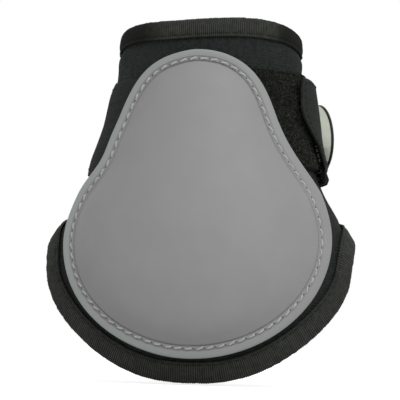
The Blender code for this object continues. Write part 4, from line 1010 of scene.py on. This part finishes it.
def tab_tip(height, offset=0.0):
    """Angle of the tip: a line through a few places, eased by a running mean 3 mm long."""
    level, angle = np.array(TAB_TIP).T
    near = np.linspace(-1.0, 1.0, 21)
    weight = (1.0 - near**2) / np.sum(1.0 - near**2)
    around = np.asarray(height)[..., None] + TIP_EASED_OVER * near
    return np.sum(np.interp(around, level, angle) * weight, axis=-1) + offset


tab = strip("closing_tab", TAB_HINGE_AT, tab_tip, STRAP_HALF, TAB_LIFT, TAB_THICK, 209, 201, webbing,
            (TAB_MIDDLE, TAB_MIDDLE), 4, 0.0030, 0.55, 0.0013)
dress(tab, web_finish, "webbing", bend("strap", "tab", (137.5, 130.0), 0.0, 0.006), "strap_tab")
height = TAB_MIDDLE + (STRAP_HALF - TAB_SEAM_INSET) * np.linspace(-1.0, 1.0, 120)
tip_seam = tab_tip(height, TAB_SEAM_TURN)
for seam_name, angle, height in (
        ("upper", np.linspace(float(tip_seam[-1]), TAB_SEAM_ENDS_AT, 160), np.full(160, height[-1])),
        ("lower", np.linspace(float(tip_seam[0]), TAB_SEAM_ENDS_AT, 160), np.full(160, height[0])),
        ("tip", tip_seam, height), ("end", np.full(120, TAB_SEAM_ENDS_AT), height)):
    black_seam(f"tab_{seam_name}", angle, height, TAB_LIFT + TAB_THICK - 0.0001, "tab", 0.00016, 0.0005)


# Hook tape: a stiff tape moulded with rows of small nylon hooks, sewn to the tab's underside. Its
# foot shows below the webbing near the tip, where it stands up a little, with a few larger hooks
# at its edge painted pale: a painted highlight on the black nylon.
HOOK_HALF, HOOK_MIDDLE, HOOK_LIFT, HOOK_TAPE_THICK = 0.0205, -0.0018, 0.0029, 0.0007
HOOK_TIP = [(-0.0224, 70.4), (-0.0216, 69.4), (-0.0190, 72.0), (-0.0166, 75.4), (-0.0150, 78.0),
            (-0.0130, 80.8), (-0.0104, 81.4), (-0.0038, 79.6), (0.0030, 76.0), (0.0210, 76.0)]
# The last two numbers size the edge hooks, whose pale colour is a painted highlight.
FOOT_STANDS_UP, HOOK_TALL, HOOK_THICK, EDGE_HOOK_TALL, EDGE_HOOK_THICK = 0.0010, 0.00055, 0.00016, 0.0008, 0.00030


def hook_tip(height):
    """Angle of the hook tape's tip: a straight-sided line through a few places."""
    return np.interp(height, *np.array(HOOK_TIP).T)


def folded_foot(run, level):
    """The tape's lower end stands up near its tip, where it comes out from under the webbing."""
    near_tip = 1.0 - smooth((run - 0.066) / 0.012)
    return FOOT_STANDS_UP * smooth((-0.0140 - level) / 0.0022) * near_tip, level * 0.0


hook = strip("hook_tape", lambda height: 112.0 - 9.0 * smooth((-0.0150 - height) / 0.0070), hook_tip,
             HOOK_HALF, HOOK_LIFT, HOOK_TAPE_THICK, 81, 161, folded_foot, (HOOK_MIDDLE, HOOK_MIDDLE))
hook_ground = finish_material("hook_tape_ground", (15, 16, 15), (23, 24, 23), 420.0, 0.8,
                              (1400.0, 1400.0, 0.00008), shine=0.05)
dress(hook, hook_ground, "hook_tape", "tab", "hook_patch")


def hooks(name, angle, height, lift, tall, thick, finish, stations=6, sides=4):
    """Moulded hooks that hang from the tape towards the loops: a tapering stalk on a quarter turn
    that ends in a curl, the same for each but turned the other way row by row."""
    count = len(angle)
    root, up_way, along, beside = standing(angle, height, lift)
    beside = beside * np.where(np.arange(count) % 2, 1.0, -1.0)[:, None]
    t = np.linspace(0.0, 1.0, stations)
    down, over = tall * np.sin(t * 2.2), tall * 0.55 * (1.0 - np.cos(t * 2.6))
    centre = root[:, None] - up_way[:, None] * down[:, None] + beside[:, None] * over[:, None]
    uv = np.broadcast_to(np.stack([t, t], axis=-1)[:, None] * 0.001, (count, stations, sides, 2))
    row = tube_rows(name, centre, along[:, None], (beside * 0.7 + up_way * 0.7)[:, None],
                    thick * (1.0 - 0.5 * t), sides, uv, math.pi / 4)
    dress(row, finish, "hook_tape", "tab")


hook_nylon = finish_material("black_nylon_hooks", (30, 30, 30), (44, 44, 44), 700.0, 0.35, None,
                             (2600.0, 0.02), 0.5, 0.4)
# Painted highlight: the edge hooks are black nylon painted pale, standing for glints on them in the tab's
# shade.
nylon_painted_highlight = finish_material("nylon_painted_highlight_hooks", (130, 122, 126), (176, 166, 172), 700.0, 0.35, None,
                             (2600.0, 0.02), 0.5, 0.4)
level, share = np.meshgrid(np.linspace(-0.0198, 0.0198, 30), np.linspace(0.0, 1.0, 40))
level = level.ravel() + HOOK_MIDDLE
tip = hook_tip(level) + 0.7
hooks("moulded_hooks", tip + (102.0 - tip) * share.ravel(), level, HOOK_LIFT, HOOK_TALL, HOOK_THICK,
      hook_nylon)
# Edge hooks along the tape's tip, painted pale as a painted highlight.
level = np.arange(-0.0121, -0.0048, 0.0011)
hooks("edge_hooks", hook_tip(level) - 0.5, level, HOOK_LIFT + HOOK_TAPE_THICK, EDGE_HOOK_TALL, EDGE_HOOK_THICK,
      nylon_painted_highlight)


# Badge: an oval rubber base moulded to the tab's curve, and a thin rimmed face plate. Both are bare.
# The base's foot follows the tab's curve, and the rings above it are flat.
BADGE_AT, BADGE_HEIGHT, BADGE_HALF_LENGTH, BADGE_HALF_WIDTH = 114.0, 0.0010, 0.0160, 0.0155
TAB_TOP, BADGE_BASE_THICK, BADGE_FACE_THICK, BADGE_POINTS = 0.0060, 0.0026, 0.0008, 120
SEAT = TAB_TOP + GAP
badge_centre = skin(BADGE_AT, BADGE_HEIGHT, SEAT)
badge_out = skin(BADGE_AT, BADGE_HEIGHT, 1.0) - skin_base(BADGE_AT, BADGE_HEIGHT)
badge_along = np.cross([0.0, 0.0, 1.0], badge_out)
badge_along /= np.linalg.norm(badge_along)
badge_up = np.cross(badge_out, badge_along)
turn = np.linspace(0.0, 2 * math.pi, BADGE_POINTS, endpoint=False)
reach = float(skin_radius(BADGE_AT, BADGE_HEIGHT)) + TAB_TOP


def foot_ring(share, lift):
    """An oval ring that lies on the tab's curve, as a share of the badge's size."""
    return skin(BADGE_AT + np.degrees(share * BADGE_HALF_LENGTH * np.cos(turn) / reach),
                BADGE_HEIGHT + share * BADGE_HALF_WIDTH * np.sin(turn) * badge_up[2], lift)


def flat_rings(grow, level):
    """Flat oval rings, each grown and lifted off the seat plane."""
    grow, level = np.array(grow)[:, None, None], np.array(level)[:, None, None]
    return (badge_centre + badge_along * (BADGE_HALF_LENGTH + grow) * np.cos(turn)[:, None]
            + badge_up * (BADGE_HALF_WIDTH + grow) * np.sin(turn)[:, None] + badge_out * level)


def stacked(name, loops):
    """A closed solid through oval rings, each end closed by a last small ring of quads."""
    middles = loops.mean(axis=1, keepdims=True)
    small = middles + (loops - middles) * 0.02
    rings = np.concatenate([small[:1], loops, small[-1:]])
    return mesh_piece(name, rings, tube_faces(len(rings), BADGE_POINTS), rings[..., [0, 2]], 50.0)


base_foot = [*(foot_ring(share, SEAT) for share in (0.2, 0.6, 0.98)), foot_ring(1.0, SEAT + 0.0003)]
base_head = flat_rings([0.0, -0.0003], [BADGE_BASE_THICK - 0.0003, BADGE_BASE_THICK])
badge_base = stacked("badge_base_plate", np.concatenate([np.stack(base_foot), base_head]))
rubber = finish_material("badge_rubber", (186, 190, 178), (200, 203, 190), 300.0, 0.5, None,
                         (1600.0, 0.03), 0.5, 0.3)
dress(badge_base, rubber, "badge_rubber", "tab", "badge_base")
low = BADGE_BASE_THICK + GAP
high = low + BADGE_FACE_THICK
badge_face = stacked("badge_plate", flat_rings(
    [0.0001, 0.0004, 0.0004, 0.0002, -0.0002, -0.0010, -0.0013, -0.0016],
    [low, low + 0.0003, high - 0.0002, high + 0.00005, high + 0.0002, high + 0.0002, high + 0.0001,
     high - 0.0001]))
plate = finish_material("badge_plate_olive", (44, 47, 40), (56, 59, 50), 300.0, 0.4, None,
                        (1600.0, 0.02), 0.5, 0.35)
dress(badge_face, plate, "badge_plate", "tab", "badge_face")
